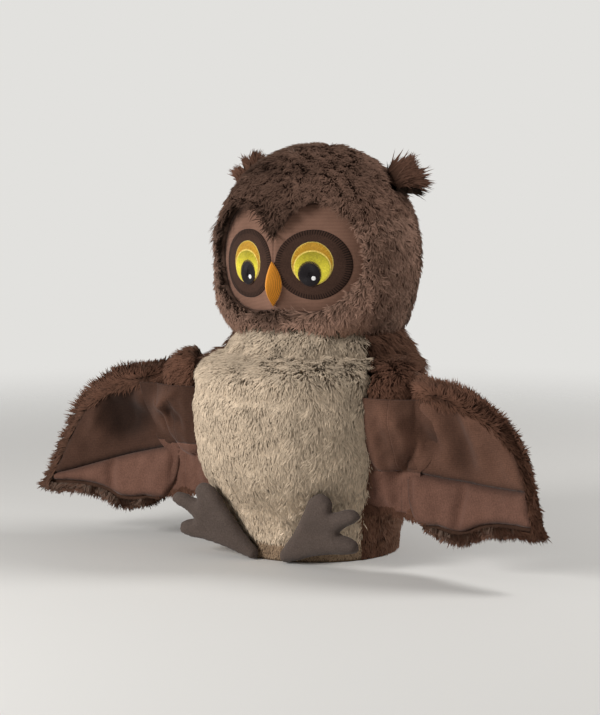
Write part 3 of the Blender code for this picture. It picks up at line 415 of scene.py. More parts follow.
def slab(name, faces, ring, over, under):
    """Closed mesh of two like plates, over and under, joined round their first points."""
    count, near = len(over), np.arange(ring)
    after = np.roll(near, -1)
    rim = np.column_stack((near, after, count + after, count + near))
    return faced_out(mesh_of(name, np.vstack((over, under)), rim, np.vstack((faces, count + faces[:, ::-1]))))


def cushion(name, outline, step, lower, upper, place, worn=None):
    """Stuffed plate: its two faces follow two height functions of the flat point and its edge distance."""
    flat, faces, distance = plate(outline, step)
    mesh = slab(name, faces, len(outline), place(flat, upper(flat, distance)), place(flat, lower(flat, distance)))
    # Painted light and shade given for each point of the upper face; the lower face gets 1.
    if worn:
        carry(mesh, "worn", np.r_[worn(flat, distance), np.ones(len(flat))])
    return mesh


def carry(mesh, name, values):
    """Give each point of a mesh a value under a name."""
    layer = mesh.attributes.new(name, "FLOAT", "POINT")
    layer.data.foreach_set("value", np.asarray(values, np.float32))


def crowned(distance, rounding, edge, full):
    """Quarter ellipse from the edge height at the seam to the full height past the rounding."""
    share = np.clip(distance / rounding, 0, 1)
    return edge + (full - edge) * np.sqrt(1 - (1 - share)**2)


def ball(name, radius, centre, segments=64):
    """Ball mesh with its place in its points."""
    mesh = bpy.data.meshes.new(name)
    work = bmesh.new()
    bmesh.ops.create_uvsphere(work, u_segments=segments, v_segments=segments // 2, radius=radius)
    bmesh.ops.translate(work, verts=work.verts, vec=centre)
    work.to_mesh(mesh)
    work.free()
    return mesh


def lathe(name, grid):
    """Closed mesh of a grid whose columns run all round."""
    return faced_out(mesh_of(name, grid.reshape(-1, 3), grid_quads(*grid.shape[:2], wrap=True)))


def carved(mesh, *holes):
    """Cut a closed mesh by balls of (radius, centre)."""
    thing = bpy.data.objects.new("carving", mesh)
    bpy.context.scene.collection.objects.link(thing)
    cutters = []
    for radius, centre in holes:
        cutter = bpy.data.objects.new("hole", ball("hole", radius, centre))
        bpy.context.scene.collection.objects.link(cutter)
        modifier = thing.modifiers.new("hole", "BOOLEAN")
        modifier.object, modifier.operation, modifier.solver = cutter, "DIFFERENCE", "EXACT"
        cutters.append(cutter)
    bpy.context.view_layer.update()
    result = bpy.data.meshes.new_from_object(thing.evaluated_get(bpy.context.evaluated_depsgraph_get()))
    result.name = mesh.name
    for extra in (thing, *cutters):
        bpy.data.objects.remove(extra)
    return result


def placed(name, mesh, body, material, nodes=(), bend=None):
    """Add a finished piece with its finish and the nodes that it stands for.

    It rides on its body; with a bend it rides on no body, its place is baked into its points, and the bend's second
    body and points are not used.
    """
    thing = bpy.data.objects.new(name, mesh)
    mesh.name = name
    bpy.context.scene.collection.objects.link(thing)
    mesh.materials.clear()
    mesh.materials.append(material)
    mesh.polygons.foreach_set("use_smooth", np.ones(len(mesh.polygons), bool))
    if bend:
        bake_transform(thing)
    else:
        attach(thing, body)
    if nodes:
        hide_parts(*nodes)


# Fur

def triangles_of(quads):
    """Split four sided faces."""
    return np.concatenate((quads[:, (0, 1, 2)], quads[:, (0, 2, 3)]))


def scatter(points, triangles, density, rng):
    """Even random places on triangles: equal shares of the running area, each with a random corner mix."""
    a, b, c = points[triangles[:, 0]], points[triangles[:, 1]], points[triangles[:, 2]]
    cross = np.cross(b - a, c - a)
    area = np.linalg.norm(cross, axis=1) / 2
    normals = np.zeros_like(points)
    for corner in range(3):
        np.add.at(normals, triangles[:, corner], cross)
    normals /= np.maximum(np.linalg.norm(normals, axis=1), 1e-12)[:, None]
    running = np.cumsum(area)
    count = int(running[-1] * density)
    pick = np.searchsorted(running, (np.arange(count) + rng.uniform(size=count)) * running[-1] / count)
    pick = np.minimum(pick, len(triangles) - 1)
    u, v = rng.uniform(size=(2, count))
    over = u + v > 1
    u[over], v[over] = 1 - u[over], 1 - v[over]
    share = np.column_stack((1 - u - v, u, v))
    chosen = triangles[pick]
    roots = (points[chosen] * share[..., None]).sum(1)
    lifts = (normals[chosen] * share[..., None]).sum(1)
    return roots, unit(lifts)


def lock_centres(points, size, seed):
    """Nearest of one random point in each cell of a cubic lattice, and a random value of that cell."""
    home = np.floor(points / size).astype(np.int64)
    best = np.full(len(points), np.inf)
    centre, shade = points.copy(), np.zeros(len(points))
    for x, y, z in np.ndindex(3, 3, 3):
        cell = home + (x - 1, y - 1, z - 1)
        key = cell @ np.array((127.1, 311.7, 74.7)) + seed
        noise = np.stack([np.sin(key * factor) * 43758.5453 % 1 for factor in (1.0, 1.7, 2.3, 3.1)], axis=1)
        candidate = (cell + noise[:, :3]) * size
        away = ((points - candidate)**2).sum(1)
        nearer = away < best
        best[nearer], centre[nearer], shade[nearer] = away[nearer], candidate[nearer], noise[nearer, 3]
    return centre, shade


def lay_fur(name, roots, normals, flow, pile, rng):
    """Locks of fur as three sided spikes that leave the cloth and bend over along the flow.

    A point at share s of a lock is root + length * (1.5 * rise * (s - s^2 / 2) * normal + lie * s * flow)
    + pull * s^2 * (way to the middle of its clump). Three points round it, of the lock's width,
    make each ring, and the tip is one point. Locks are shaded mostly as the cloth below them, which
    gives the soft look of plush.
    """
    count = len(roots)
    flow = flow - (flow * normals).sum(1)[:, None] * normals
    flow /= np.maximum(np.linalg.norm(flow, axis=1), 1e-9)[:, None]
    across = np.cross(flow, normals)
    turn = pile["ruffle"] * (rng.normal(size=count) * 0.6 + 1.2 * ripple(roots, pile["wave"], 5))
    along = np.cos(turn)[:, None] * flow + np.sin(turn)[:, None] * across
    across = np.cross(along, normals)
    centre, tint = lock_centres(roots, pile["clump"], 11)
    way = centre - roots
    way -= (way * normals).sum(1)[:, None] * normals
    reach = pile["length"] * rng.uniform(0.72, 1.18, count) * pile.get("share", 1.0)
    rise = np.sin(pile["rise"] * (1 + 0.35 * ripple(roots, pile["wave"] * 0.7, 6)))
    lie = np.sqrt(1 - rise**2)
    width = pile["width"] * rng.uniform(0.8, 1.2, count)
    ring = np.array(((0.5, 0.0), (-0.5, 0.0), (0.0, 0.6)))
    rows = []
    for share, girth in ((0.0, 1.0), (0.5, 0.85), (1.0, 0.0)):
        arch = reach * rise * LOCK_ARCH * (share - share**2 / 2)
        spine = (roots - normals * LOCK_ROOT + arch[:, None] * normals
                 + (reach * lie * share)[:, None] * along + share**2 * np.reshape(pile["pull"], (-1, 1)) * way)
        if share == 1.0:
            rows.append(spine[:, None])
        else:
            sides = ring[None] * (width * girth)[:, None, None]
            rows.append(spine[:, None] + sides[..., :1] * across[:, None] + sides[..., 1:] * normals[:, None])
    points = np.concatenate(rows, axis=1).reshape(-1, 3)
    start = np.arange(count)[:, None, None] * LOCK_POINTS
    quads = (start + np.array(((0, 1, 4, 3), (1, 2, 5, 4), (2, 0, 3, 5)))[None]).reshape(-1, 4)
    spikes = (start + np.array(((3, 4, 6), (4, 5, 6), (5, 3, 6), (0, 2, 1)))[None]).reshape(-1, 3)
    mesh = mesh_of(name, points, quads, spikes)
    mesh.polygons.foreach_set("use_smooth", np.ones(len(mesh.polygons), bool))
    soft = np.reshape(pile.get("soft", 0.35), (-1, 1))
    outward = unit(normals + soft * along + rng.uniform(-0.35, 0.35, count)[:, None] * across)
    outward = np.repeat(outward, LOCK_POINTS, axis=0)
    mesh.normals_split_custom_set_from_vertices(outward.astype(np.float32))
    side = math.ceil(math.sqrt(count))
    cell = np.stack((np.arange(count) % side, np.arange(count) // side), -1)[:, None, None] / side
    k = np.arange(3)[:, None]
    low, high, top = np.full((3, 1), 0.12), np.full((3, 1), 0.55), np.full((3, 1), 0.95)
    left, right = 0.05 + 0.3 * k, 0.05 + 0.3 * (k + 1)
    quad_map = np.stack([np.hstack(pair) for pair in ((left, low), (right, low), (right, high), (left, high))], 1)
    tip_map = np.stack([np.hstack(pair) for pair in ((left, high), (right, high), ((left + right) / 2, top))], 1)
    tip_map = np.concatenate((tip_map, [[(0.05, 0.01), (0.5, 0.08), (0.95, 0.01)]]))
    cells = np.concatenate([(cell + part[None] / side).reshape(-1, 2) for part in (quad_map, tip_map)])
    mesh.uv_layers.new(name="OFBake").uv.foreach_set("vector", cells.astype(np.float32).ravel())
    carry(mesh, "tip", np.tile((0, 0, 0, 0.5, 0.5, 0.5, 1), count))
    # A lock's tone: random by clump and by lock, plus the painted light and shade that the pile gives.
    tone_and_painted_light = 0.5 * tint + 0.5 * rng.uniform(size=count) + pile.get("bias", 0.0)
    carry(mesh, "shade", np.repeat(tone_and_painted_light, LOCK_POINTS))
    return mesh


def furred(name, body, finish, roots, normals, flow, pile, rng):
    """Fur laid in patches, each of at most FUR_PATCH locks."""
    patches = math.ceil(len(roots) / FUR_PATCH)
    for patch in range(patches):
        part = slice(patch * FUR_PATCH, (patch + 1) * FUR_PATCH)
        local = {key: value[part] if isinstance(value, np.ndarray) else value for key, value in pile.items()}
        title = name + "_fur" + ("_%d" % (patch + 1) if patches > 1 else "")
        placed(title, lay_fur(title, roots[part], normals[part], flow[part], local, rng), body, finish)


def away_from(points, centre, radius):
    """Mask of the points outside a ball."""
    return ((points - centre)**2).sum(1) > radius**2


# Materials

def node_at(tree, kind, inputs=None, **settings):
    """Add a node with its settings. Each given input gets a value, or a link from another node's output."""
    node = tree.nodes.new(kind)
    for key, value in settings.items():
        setattr(node, key, value)
    for key, value in (inputs or {}).items():
        if isinstance(value, bpy.types.NodeSocket):
            tree.links.new(value, node.inputs[key])
        else:
            node.inputs[key].default_value = value
    return node


def object_place(tree):
    """Place on the object, in metres."""
    return node_at(tree, "ShaderNodeTexCoord").outputs["Object"]


def maths(tree, operation, *values):
    """Result of a sum on numbers and outputs of nodes."""
    return node_at(tree, "ShaderNodeMath", dict(enumerate(values)), operation=operation).outputs[0]


def ranged(tree, value, first, last, low=0.0, high=1.0):
    """A value carried over from one range to another, and held within it."""
    inputs = {"Value": value, "From Min": first, "From Max": last, "To Min": low, "To Max": high}
    return node_at(tree, "ShaderNodeMapRange", inputs).outputs[0]


def noise(tree, place, scale, detail, roughness=0.5):
    """Noise over a place."""
    inputs = {"Vector": place, "Scale": scale, "Detail": detail, "Roughness": roughness}
    return node_at(tree, "ShaderNodeTexNoise", inputs).outputs["Fac"]


def toned(tree, tone, share):
    """Colour times a value."""
    return node_at(tree, "ShaderNodeVectorMath", {0: tone, "Scale": share}, operation="SCALE").outputs[0]


def two_toned(tree, mask, first, second):
    """Colour that goes from the first tone to the second with a mask."""
    inputs = {0: mask, 6: (*first, 1), 7: (*second, 1)}
    return node_at(tree, "ShaderNodeMix", inputs, data_type="RGBA").outputs[2]


def new_group(name, inputs, outputs):
    """Node group with its sockets, given as name and kind, and the ends of those sockets inside it."""
    tree = bpy.data.node_groups.new(name, "ShaderNodeTree")
    for direction, sockets in (("INPUT", inputs), ("OUTPUT", outputs)):
        for title, kind in sockets.items():
            tree.interface.new_socket(name=title, in_out=direction, socket_type="NodeSocket" + kind)
    return tree, tree.nodes.new("NodeGroupInput").outputs, tree.nodes.new("NodeGroupOutput").inputs


def pile_group():
    """Fur colour: from root to tip, lighter or darker by lock and by the painted light and shade that each lock
    carries, with broad mottling over the body.
    """
    tree, given, result = new_group("pile colour", {"Colour": "Color", "Along": "Float", "Lock": "Float",
                                                    "Depth": "Float", "Variation": "Float", "Tip": "Float"},
                                    {"Colour": "Color"})
    place = object_place(tree)
    total = ranged(tree, given["Along"], 0.0, TIP_START, given["Depth"], given["Tip"])
    factors = [maths(tree, "MULTIPLY_ADD", maths(tree, "SUBTRACT", given["Lock"], 0.5), given["Variation"], 1.0)]
    for scale, detail, low, high in (BROAD_MOTTLE, FINE_MOTTLE):
        factors.append(ranged(tree, noise(tree, place, scale, detail), *NOISE_RANGE, low, high))
    for factor in factors:
        total = maths(tree, "MULTIPLY", total, factor)
    tree.links.new(toned(tree, given["Colour"], total), result["Colour"])
    return tree


def nap_group():
    """Short nap of velour and felt: fine ribs, a soft grain and cloudy wear, as colour and height."""
    tree, given, result = new_group("velour nap", {"Colour": "Color", "Rib scale": "Float", "Rib tilt": "Vector",
                                                   "Rib share": "Float", "Cloud": "Float"},
                                    {"Colour": "Color", "Height": "Float"})
    place = object_place(tree)
    turned = node_at(tree, "ShaderNodeMapping", {"Vector": place, "Rotation": given["Rib tilt"]})
    ribs = node_at(tree, "ShaderNodeTexWave", {"Vector": turned.outputs["Vector"], "Scale": given["Rib scale"],
                                               "Distortion": 0.6, "Detail": 1.0, "Detail Scale": 2.0},
                   bands_direction="Z")
    grain, cloud = noise(tree, place, *GRAIN), noise(tree, place, *CLOUD)
    height = node_at(tree, "ShaderNodeMix", {"Factor": given["Rib share"], "A": grain,
                                             "B": ribs.outputs["Fac"]}).outputs["Result"]
    wear_and_painted_light = maths(tree, "MULTIPLY_ADD", ranged(tree, cloud, *NOISE_RANGE, -1.0, 1.0), given["Cloud"], 1.0)
    both = maths(tree, "MULTIPLY", wear_and_painted_light, ranged(tree, height, *NOISE_RANGE, *GRAIN_SHADES))
    tree.links.new(toned(tree, given["Colour"], both), result["Colour"])
    tree.links.new(height, result["Height"])
    return tree


def stitch_group():
    """Mask of radial stitches round an eye: wedges in a band near the rim of the disc."""
    tree, _, result = new_group("stitch ring", {}, {"Mask": "Float"})
    split = node_at(tree, "ShaderNodeSeparateXYZ", {0: object_place(tree)}).outputs
    across = maths(tree, "SUBTRACT", maths(tree, "ABSOLUTE", split["X"]), EYE_OFFSET)
    up = maths(tree, "SUBTRACT", split["Z"], EYE_HEIGHT)
    flat = node_at(tree, "ShaderNodeCombineXYZ", {"X": across, "Y": up}).outputs[0]
    reach = node_at(tree, "ShaderNodeVectorMath", {0: flat}, operation="LENGTH").outputs["Value"]
    wave = maths(tree, "SINE", maths(tree, "MULTIPLY", maths(tree, "ARCTAN2", up, across), RIM_STITCHES))
    band = ranged(tree, reach, *(DISC_HALF_HEIGHT * share for share in STITCH_BAND_SHARES))
    tree.links.new(maths(tree, "MULTIPLY", ranged(tree, wave, 0.0, 0.5), band), result["Mask"])
    return tree


GROUP_MAKERS = {"pile colour": pile_group, "velour nap": nap_group, "stitch ring": stitch_group}


def grouped(tree, name, inputs=None):
    """Node of the shared group of a name, which is made at its first use."""
    group = bpy.data.node_groups.get(name) or GROUP_MAKERS[name]()
    return node_at(tree, "ShaderNodeGroup", inputs, node_tree=group)


def attribute(tree, name):
    """Value that a mesh carries under a name."""
    return node_at(tree, "ShaderNodeAttribute", attribute_name=name).outputs["Fac"]


def new_finish(name, roughness, sheen=0.0, specular=NAP_SPECULAR):
    """Material whose constants stand on its shader."""
    material = bpy.data.materials.new(name)
    material.use_nodes = True
    shader = material.node_tree.nodes["Principled BSDF"]
    values = {"Roughness": roughness, "Sheen Weight": sheen, "Sheen Roughness": SHEEN_ROUGHNESS,
              "Specular IOR Level": specular}
    for key, value in values.items():
        shader.inputs[key].default_value = value
    return material, shader


def fur_finish(name, tone, depth=0.50, variation=0.40, tip=1.18, sheen=0.12):
    """Fur that is dark at the cloth and light at the tips."""
    material, shader = new_finish(name, FUR_ROUGHNESS, sheen, 0.0)
    shader.inputs["Sheen Tint"].default_value = FUR_SHEEN_TINT
    tree = material.node_tree
    group = grouped(tree, "pile colour", {"Colour": (*tone, 1), "Depth": depth, "Variation": variation, "Tip": tip,
                                          "Along": attribute(tree, "tip"), "Lock": attribute(tree, "shade")})
    tree.links.new(group.outputs["Colour"], shader.inputs["Base Color"])
    return material


def nap_finish(name, tone, ribs=285.0, tilt=(0, 0, 0), share=0.5, cloud=0.2, depth=0.00025, roughness=0.9,
               sheen=0.1, worn=False, other=None, mask=None):
    """Velour, felt or satin: colour and bump from the shared nap, brighter or darker by the painted light and shade
    that the mesh carries, when asked.

    Where another tone is given, a mask makes it from the tree.
    """
    material, shader = new_finish(name, roughness, sheen)
    tree = material.node_tree
    tint = two_toned(tree, mask(tree), tone, other) if mask else (*tone, 1)
    group = grouped(tree, "velour nap", {"Colour": tint, "Rib scale": ribs, "Rib tilt": tilt, "Rib share": share,
                                         "Cloud": cloud})
    bump = node_at(tree, "ShaderNodeBump", {"Strength": 0.6, "Distance": depth, "Height": group.outputs["Height"]})
    tree.links.new(bump.outputs["Normal"], shader.inputs["Normal"])
    tint = group.outputs["Colour"]
    # Painted light and shade that the mesh carries darken or lighten the nap.
    if worn:
        tint = toned(tree, tint, attribute(tree, "worn"))
    tree.links.new(tint, shader.inputs["Base Color"])
    return material


def finish_named(name, maker, *values, **settings):
    """The material of a name, made at its first use; the solids' own materials have the plain names."""
    own = "owl " + name
    return bpy.data.materials.get(own) or maker(own, *values, **settings)


def cloth_under(name, tone):
    """Ground cloth that shows between the locks: the fur's tone, darkened as painted shade between them."""
    dark = tuple(value * GROUND_PAINTED_SHADE for value in tone)
    return finish_named(name, nap_finish, dark, share=0.1, cloud=0.25, sheen=0.0)


def lining_cloth(tone):
    """Plain ribbed cloth of the sleeve and the finger's pocket."""
    return finish_named("lining", nap_finish, tone, ribs=420.0, share=0.4, cloud=0.1)


# Forms of the body and the head

def torso_points(angle, run, inset=0.0):
    """Body surface: an ellipse at each height, x = w sin a, y = -f - d cos a, with a dome above the collar.

    Angles count from the front, and the run counts up the side and then over the dome.
    """
    angle, run = np.broadcast_arrays(angle, run)
    rows = [(share * COLLAR_HEIGHT, mix(HEM_HALF_WIDTH, CHEST_HALF_WIDTH, swell),
             mix(HEM_HALF_DEPTH, CHEST_HALF_DEPTH, swell), mix(HEM_FORWARD, CHEST_FORWARD, swell))
            for share, swell in TORSO_SWELL_SHARES]
    collar = math.sqrt(DOME_RADIUS**2 - COLLAR_RISE**2)
    rows.append((COLLAR_HEIGHT, collar, collar, 0))
    section = smooth_table(rows, np.minimum(run, COLLAR_HEIGHT).ravel()).reshape(run.shape + (3,))
    polar = math.acos(COLLAR_RISE / DOME_RADIUS) - np.maximum(run - COLLAR_HEIGHT, 0) / DOME_RADIUS
    dome = run > COLLAR_HEIGHT
    round_up = (DOME_RADIUS - inset) * np.sin(polar)
    width = np.where(dome, round_up, section[..., 0] - inset)
    depth = np.where(dome, round_up, section[..., 1] - inset)
    forward = np.where(dome, 0, section[..., 2])
    height = np.where(dome, NECK_PIVOT_HEIGHT + (DOME_RADIUS - inset) * np.cos(polar), run)
    return np.stack((width * np.sin(angle), FORWARD - forward - depth * np.cos(angle), height), -1)


DOME_RUN = DOME_RADIUS * (math.acos(COLLAR_RISE / DOME_RADIUS) - math.asin(NECK_HOLE_RADIUS / DOME_RADIUS))
TORSO_RUN = COLLAR_HEIGHT + DOME_RUN
SHOULDER_CENTRES = tuple((side * SHOULDER[0], SHOULDER[1] + FORWARD, SHOULDER[2]) for side in (1, -1))
SHOULDER_HOLES = tuple((SHOULDER_RADIUS + SOCKET_ROOM, centre) for centre in SHOULDER_CENTRES)
TUFT_CENTRES = tuple((side * TUFT_CENTRE[0], TUFT_CENTRE[1] + FORWARD, TUFT_CENTRE[2]) for side in (1, -1))
TUFT_HOLES = tuple((TUFT_BALL + SOCKET_ROOM, centre) for centre in TUFT_CENTRES)
SIDES = ((1, "left"), (-1, "right"))
NECK_PIVOT = (0, FORWARD, NECK_PIVOT_HEIGHT)
SHELF_TOP = 0.1765


def torso_panel(low, high, first, last, inset, step=0.004):
    """Grid of the body between two runs and two angles."""
    rows = max(3, round((high - low) / step) + 1)
    columns = max(3, round((last - first) * CHEST_HALF_WIDTH / step) + 1)
    angle, run = np.meshgrid(np.linspace(first, last, columns), np.linspace(low, high, rows))
    return torso_points(angle, run, inset)


def head_points(directions, inset=0.0):
    """Head surface along directions: nearly round from above, round on top and fuller at the chin.

    With p = (|x/w|^a + |y/d|^a)^(1/a), the surface is where p^b + |z/h|^b = 1, and b changes at the middle.
    """
    width, depth, rise, drop = (size - inset for size in HEAD_SIZE)
    above = directions[..., 2] > 0
    tall, power = np.where(above, rise, drop), np.where(above, HEAD_TOP_POWER, HEAD_CHIN_POWER)
    plan = (np.abs(directions[..., 0] / width)**HEAD_PLAN_POWER
            + np.abs(directions[..., 1] / depth)**HEAD_PLAN_POWER)**(1 / HEAD_PLAN_POWER)
    reach = (plan**power + np.abs(directions[..., 2] / tall)**power)**(-1 / power)
    return directions * reach[..., None] + (0, FORWARD, HEAD_HEIGHT)


def head_front(flat, inset):
    """Y of the head's front over flat points (x, z)."""
    width, depth, rise, drop = (size - inset for size in HEAD_SIZE)
    lift = flat[..., 1] - HEAD_HEIGHT
    tall, power = np.where(lift > 0, rise, drop), np.where(lift > 0, HEAD_TOP_POWER, HEAD_CHIN_POWER)
    plan = np.clip(1 - np.abs(lift / tall)**power, 0, 1)**(1 / power)
    rest = plan**HEAD_PLAN_POWER - np.abs(flat[..., 0] / width)**HEAD_PLAN_POWER
    return FORWARD - depth * np.clip(rest, 0, 1)**(1 / HEAD_PLAN_POWER)


def face_outline(step):
    """Whole face outline seen from the front, from the brow's peak round by +X, and the count of its half."""
    points = np.array(FACE_OUTLINE_SHARES) * (FACE_HALF_WIDTH, FACE_HALF_HEIGHT) + (0, FACE_HEIGHT)
    half = curve_through(points, step, closed=False)
    return np.vstack((half, half[-2:0:-1] * (-1, 1))), len(half)


def from_front(away, roll):
    """Directions at an angle away from the front, rolled round the view line."""
    return np.stack((np.sin(away) * np.cos(roll), -np.cos(away) + 0 * roll, np.sin(away) * np.sin(roll)), -1)


def from_top(height, turn):
    """Directions at an angle away from the top, turned round the upright line."""
    return np.stack((np.sin(height) * np.cos(turn), np.sin(height) * np.sin(turn), np.cos(height)), -1)


def head_ring(first, last, inset, rows=22):
    """Grid from the face outline back to the seam behind the cheeks, between two shares of the outline."""
    outline, _ = face_outline(0.003)
    count = len(outline)
    index = np.arange(round(first * count), round(last * count) + 1) % count
    edge = outline[index]
    lift = edge[:, 1] - HEAD_HEIGHT
    start = np.arctan2(np.hypot(edge[:, 0], lift), FORWARD - head_front(edge, inset))
    roll = np.unwrap(np.arctan2(lift, edge[:, 0]))
    return head_points(from_front(mix(start[None], BACK_SEAM_ANGLE, np.linspace(0, 1, rows)[:, None]), roll), inset)


def head_back(inset, side):
    """Grid of one half of the back of the head."""
    away, roll = np.meshgrid(np.linspace(BACK_SEAM_ANGLE, math.pi, 26), np.linspace(-math.pi / 2, math.pi / 2, 44),
                             indexing="ij")
    grid = head_points(from_front(away, roll), inset)
    grid[..., 0] = np.maximum(grid[..., 0], 0) * side
    return grid


def face_surface(flat, lift=0.0):
    """Y of the velour face: it falls back on both sides of its middle seam, and swells round each eye."""
    slope = np.clip(np.abs(flat[..., 0]) / FACE_SLOPE_REACH, 0, 1)
    recess = mix(FACE_SEAM_RECESS, FACE_RECESS, 1 - (1 - slope)**2)
    across = (np.abs(flat[..., 0]) - EYE_OFFSET) / (FACE_HALF_WIDTH - EYE_OFFSET)
    up = (flat[..., 1] - FACE_HEIGHT) / FACE_HALF_HEIGHT
    return head_front(flat, 0) + recess - FACE_BULGE * np.clip(1 - across**2 - up**2, 0, 1) - lift


def outward_grid(grid, centre):
    """Triangles of a grid, turned so that they face away from a centre."""
    points = grid.reshape(-1, 3)
    faces = triangles_of(grid_quads(*grid.shape[:2]))
    a, b, c = (points[faces[:, k]] for k in range(3))
    if (np.cross(b - a, c - a) * ((a + b + c) / 3 - centre)).sum() < 0:
        faces = faces[:, ::-1]
    return points, faces


# Operators

class OWL_OT_body(bpy.types.Operator):
    """Make the belly, the back and the hem with their fur"""
    bl_idname = "owl.body"
    bl_label = "Body Fur"

    def execute(self, context):
        pile, tones = context.scene.owl_pile, context.scene.owl_colours
        front, half = BELLY_HALF_ANGLE, math.pi
        body, hem = (HEM_BAND_HEIGHT, TORSO_RUN), (0.0, HEM_BAND_HEIGHT)
        panels = (
            ("belly", "belly_panel", "belly_fur", tones.belly, pile.belly, body, (-front, front), BELLY_LAY),
            ("back_left", "back_panel_left", "back_fur", tones.back, pile.back, body, (front, half), BACK_LAY),
            ("back_right", "back_panel_right", "back_fur", tones.back, pile.back, body, (-half, -front), BACK_LAY),
            ("hem_front", "hem_front", "hem_plush", tones.hem, pile.hem, hem, (-front, front), HEM_FRONT_LAY),
            ("hem_back", "hem_back", "back_fur", tones.back, pile.hem * 1.5, hem, (front, 2 * half - front),
             HEM_BACK_LAY),
        )
        for number, (name, node, slot, tone, strand, run, turn, lay) in enumerate(panels):
            short = run == hem
            outer = torso_panel(*run, *turn, HEM_CLOTH_DEPTH if short else CLOTH_DEPTH)
            mesh = shell(name, outer, torso_panel(*run, *turn, BODY_PLUSH))
            if not short:
                mesh = carved(mesh, *SHOULDER_HOLES)
            placed(name + "_cloth", mesh, "torso", cloth_under(slot + " ground", tone), (node,))
            plush = {"depth": 0.74, "variation": 0.35, "tip": 1.10, "sheen": 0.0} if name == "belly" else {}
            finish = finish_named(slot, fur_finish, tone, **plush)
            self.fur(name, outer, run[0], strand, lay, pile.strand * (0.6 if short else 1.0), finish, slot, number)
        return {"FINISHED"}

    def fur(self, name, outer, low, strand, lay, width, finish, slot, number):
        """Fur combed down, which stands out over the shelf of the chest and is short at the neck and the hem; painted
        light low on the body and painted shade on the shelf under the head.
        """
        density, rise, clump, pull = lay
        rng = np.random.default_rng(100 + number)
        roots, normals = scatter(*outward_grid(outer, (0, FORWARD, 0.10)), density, rng)
        keep = (roots[:, 2] > low + 0.003) & (roots[:, 2] < SHELF_TOP)
        for centre in SHOULDER_CENTRES:
            keep &= away_from(roots, centre, SHOULDER_RADIUS + FUR_ROOM)
        roots, normals = roots[keep], normals[keep]
        shelf = ramp(roots[:, 2] - 0.138, 0.012)
        under = ramp(roots[:, 2] - 0.160, SHELF_TOP - 0.160)
        near_hem = ramp(low + strand * 0.8 - roots[:, 2], strand * 0.8)
        side = np.clip(0.5 + roots[:, 0] / 0.10, 0, 1)
        out = unit(roots * (1, 1, 0) - (0, FORWARD, 0))
        flow = ((0.0, 0.0, -1.0) + 0.22 * ripples(roots, 0.05, (1, 2, 3))) + 1.4 * shelf[:, None] * out
        fuller = 0.30 if name == "belly" else 0.90
        # Painted light: lighter low on the body, and painted shade on the chest's shelf under the head.
        settings = {"length": strand, "width": width, "rise": rise + 0.12 * shelf, "clump": clump,
                    "pull": pull * mix(0.5, 1.4, side), "ruffle": 0.45, "wave": 0.016,
                    "bias": 0.70 * ramp(0.08 - roots[:, 2], 0.04) - 0.60 * shelf,
                    "share": (1 + fuller * shelf - 0.45 * under - 0.45 * near_hem) * mix(0.88, 1.08, side)}
        furred(name, "torso", finish, roots, normals, flow, settings, rng)


class OWL_OT_sleeve(bpy.types.Operator):
    """Make the lining of the sleeve and the two cloth rings of the neck"""
    bl_idname = "owl.sleeve"
    bl_label = "Sleeve and Neck"

    def execute(self, context):
        tones = context.scene.owl_colours
        inset = BODY_PLUSH + 0.0006
        outer = torso_panel(0.0, TORSO_RUN, 0.0, 2 * math.pi, inset)[:, :-1]
        inner = torso_panel(0.0, TORSO_RUN, 0.0, 2 * math.pi, inset + BODY_LINING)[:, :-1]
        angle = np.arctan2(inner[..., 0], -inner[..., 1])
        fold = 0.0008 * np.sin(9 * angle + 3 * np.sin(inner[..., 2] * 40))
        inner[..., 0] += fold * np.sin(angle)
        inner[..., 1] -= fold * np.cos(angle)
        mesh = carved(shell("sleeve", outer, inner, wrap=True), *SHOULDER_HOLES)
        placed("sleeve_lining_cloth", mesh, "torso", lining_cloth(tones.lining), ("sleeve_lining",))
        radius = DOME_RADIUS + NECK_CLEARANCE
        polar, turn = np.meshgrid(np.linspace(*RING_ANGLES, 10), turns(144), indexing="ij")
        pleat = 0.5 + 0.5 * np.sin(36 * turn)
        brown = finish_named("neck cloth", nap_finish, tones.neck, share=0.1, cloud=0.15, sheen=0.0)
        for name, body, slot in (("neck_lining", "neck_turner", "lining"), ("neck_gusset", "neck_nodder", "head_fur")):
            grids = [reach[..., None] * from_top(polar, turn) + NECK_PIVOT
                     for reach in (radius + RING_THICKNESS * (0.70 + 0.30 * pleat), radius + RING_THICKNESS * 0.25 * pleat)]
            placed(name + "_cloth", shell(name, *grids, wrap=True), body, brown, (name,))
            radius += RING_THICKNESS + NECK_CLEARANCE
        return {"FINISHED"}


def face_roll(points, outline):
    """Surface raised by a soft roll round the face and sunk by the crease behind it, up to the brow."""
    flat = points[..., (0, 2)].reshape(-1, 2)
    rim = np.where(points[..., 1].ravel() < FORWARD + 0.02, edge_distance(flat, outline), 1.0)
    roll, crease = bell(rim - 0.0115, 0.0065), bell(rim - 0.027, 0.0055)
    out = unit(points - (0, FORWARD, HEAD_HEIGHT))
    low = np.clip((0.275 - points[..., 2]) / 0.03, 0, 1)
    return points + out * (0.0026 * roll - 0.0018 * crease).reshape(low.shape)[..., None] * low[..., None]


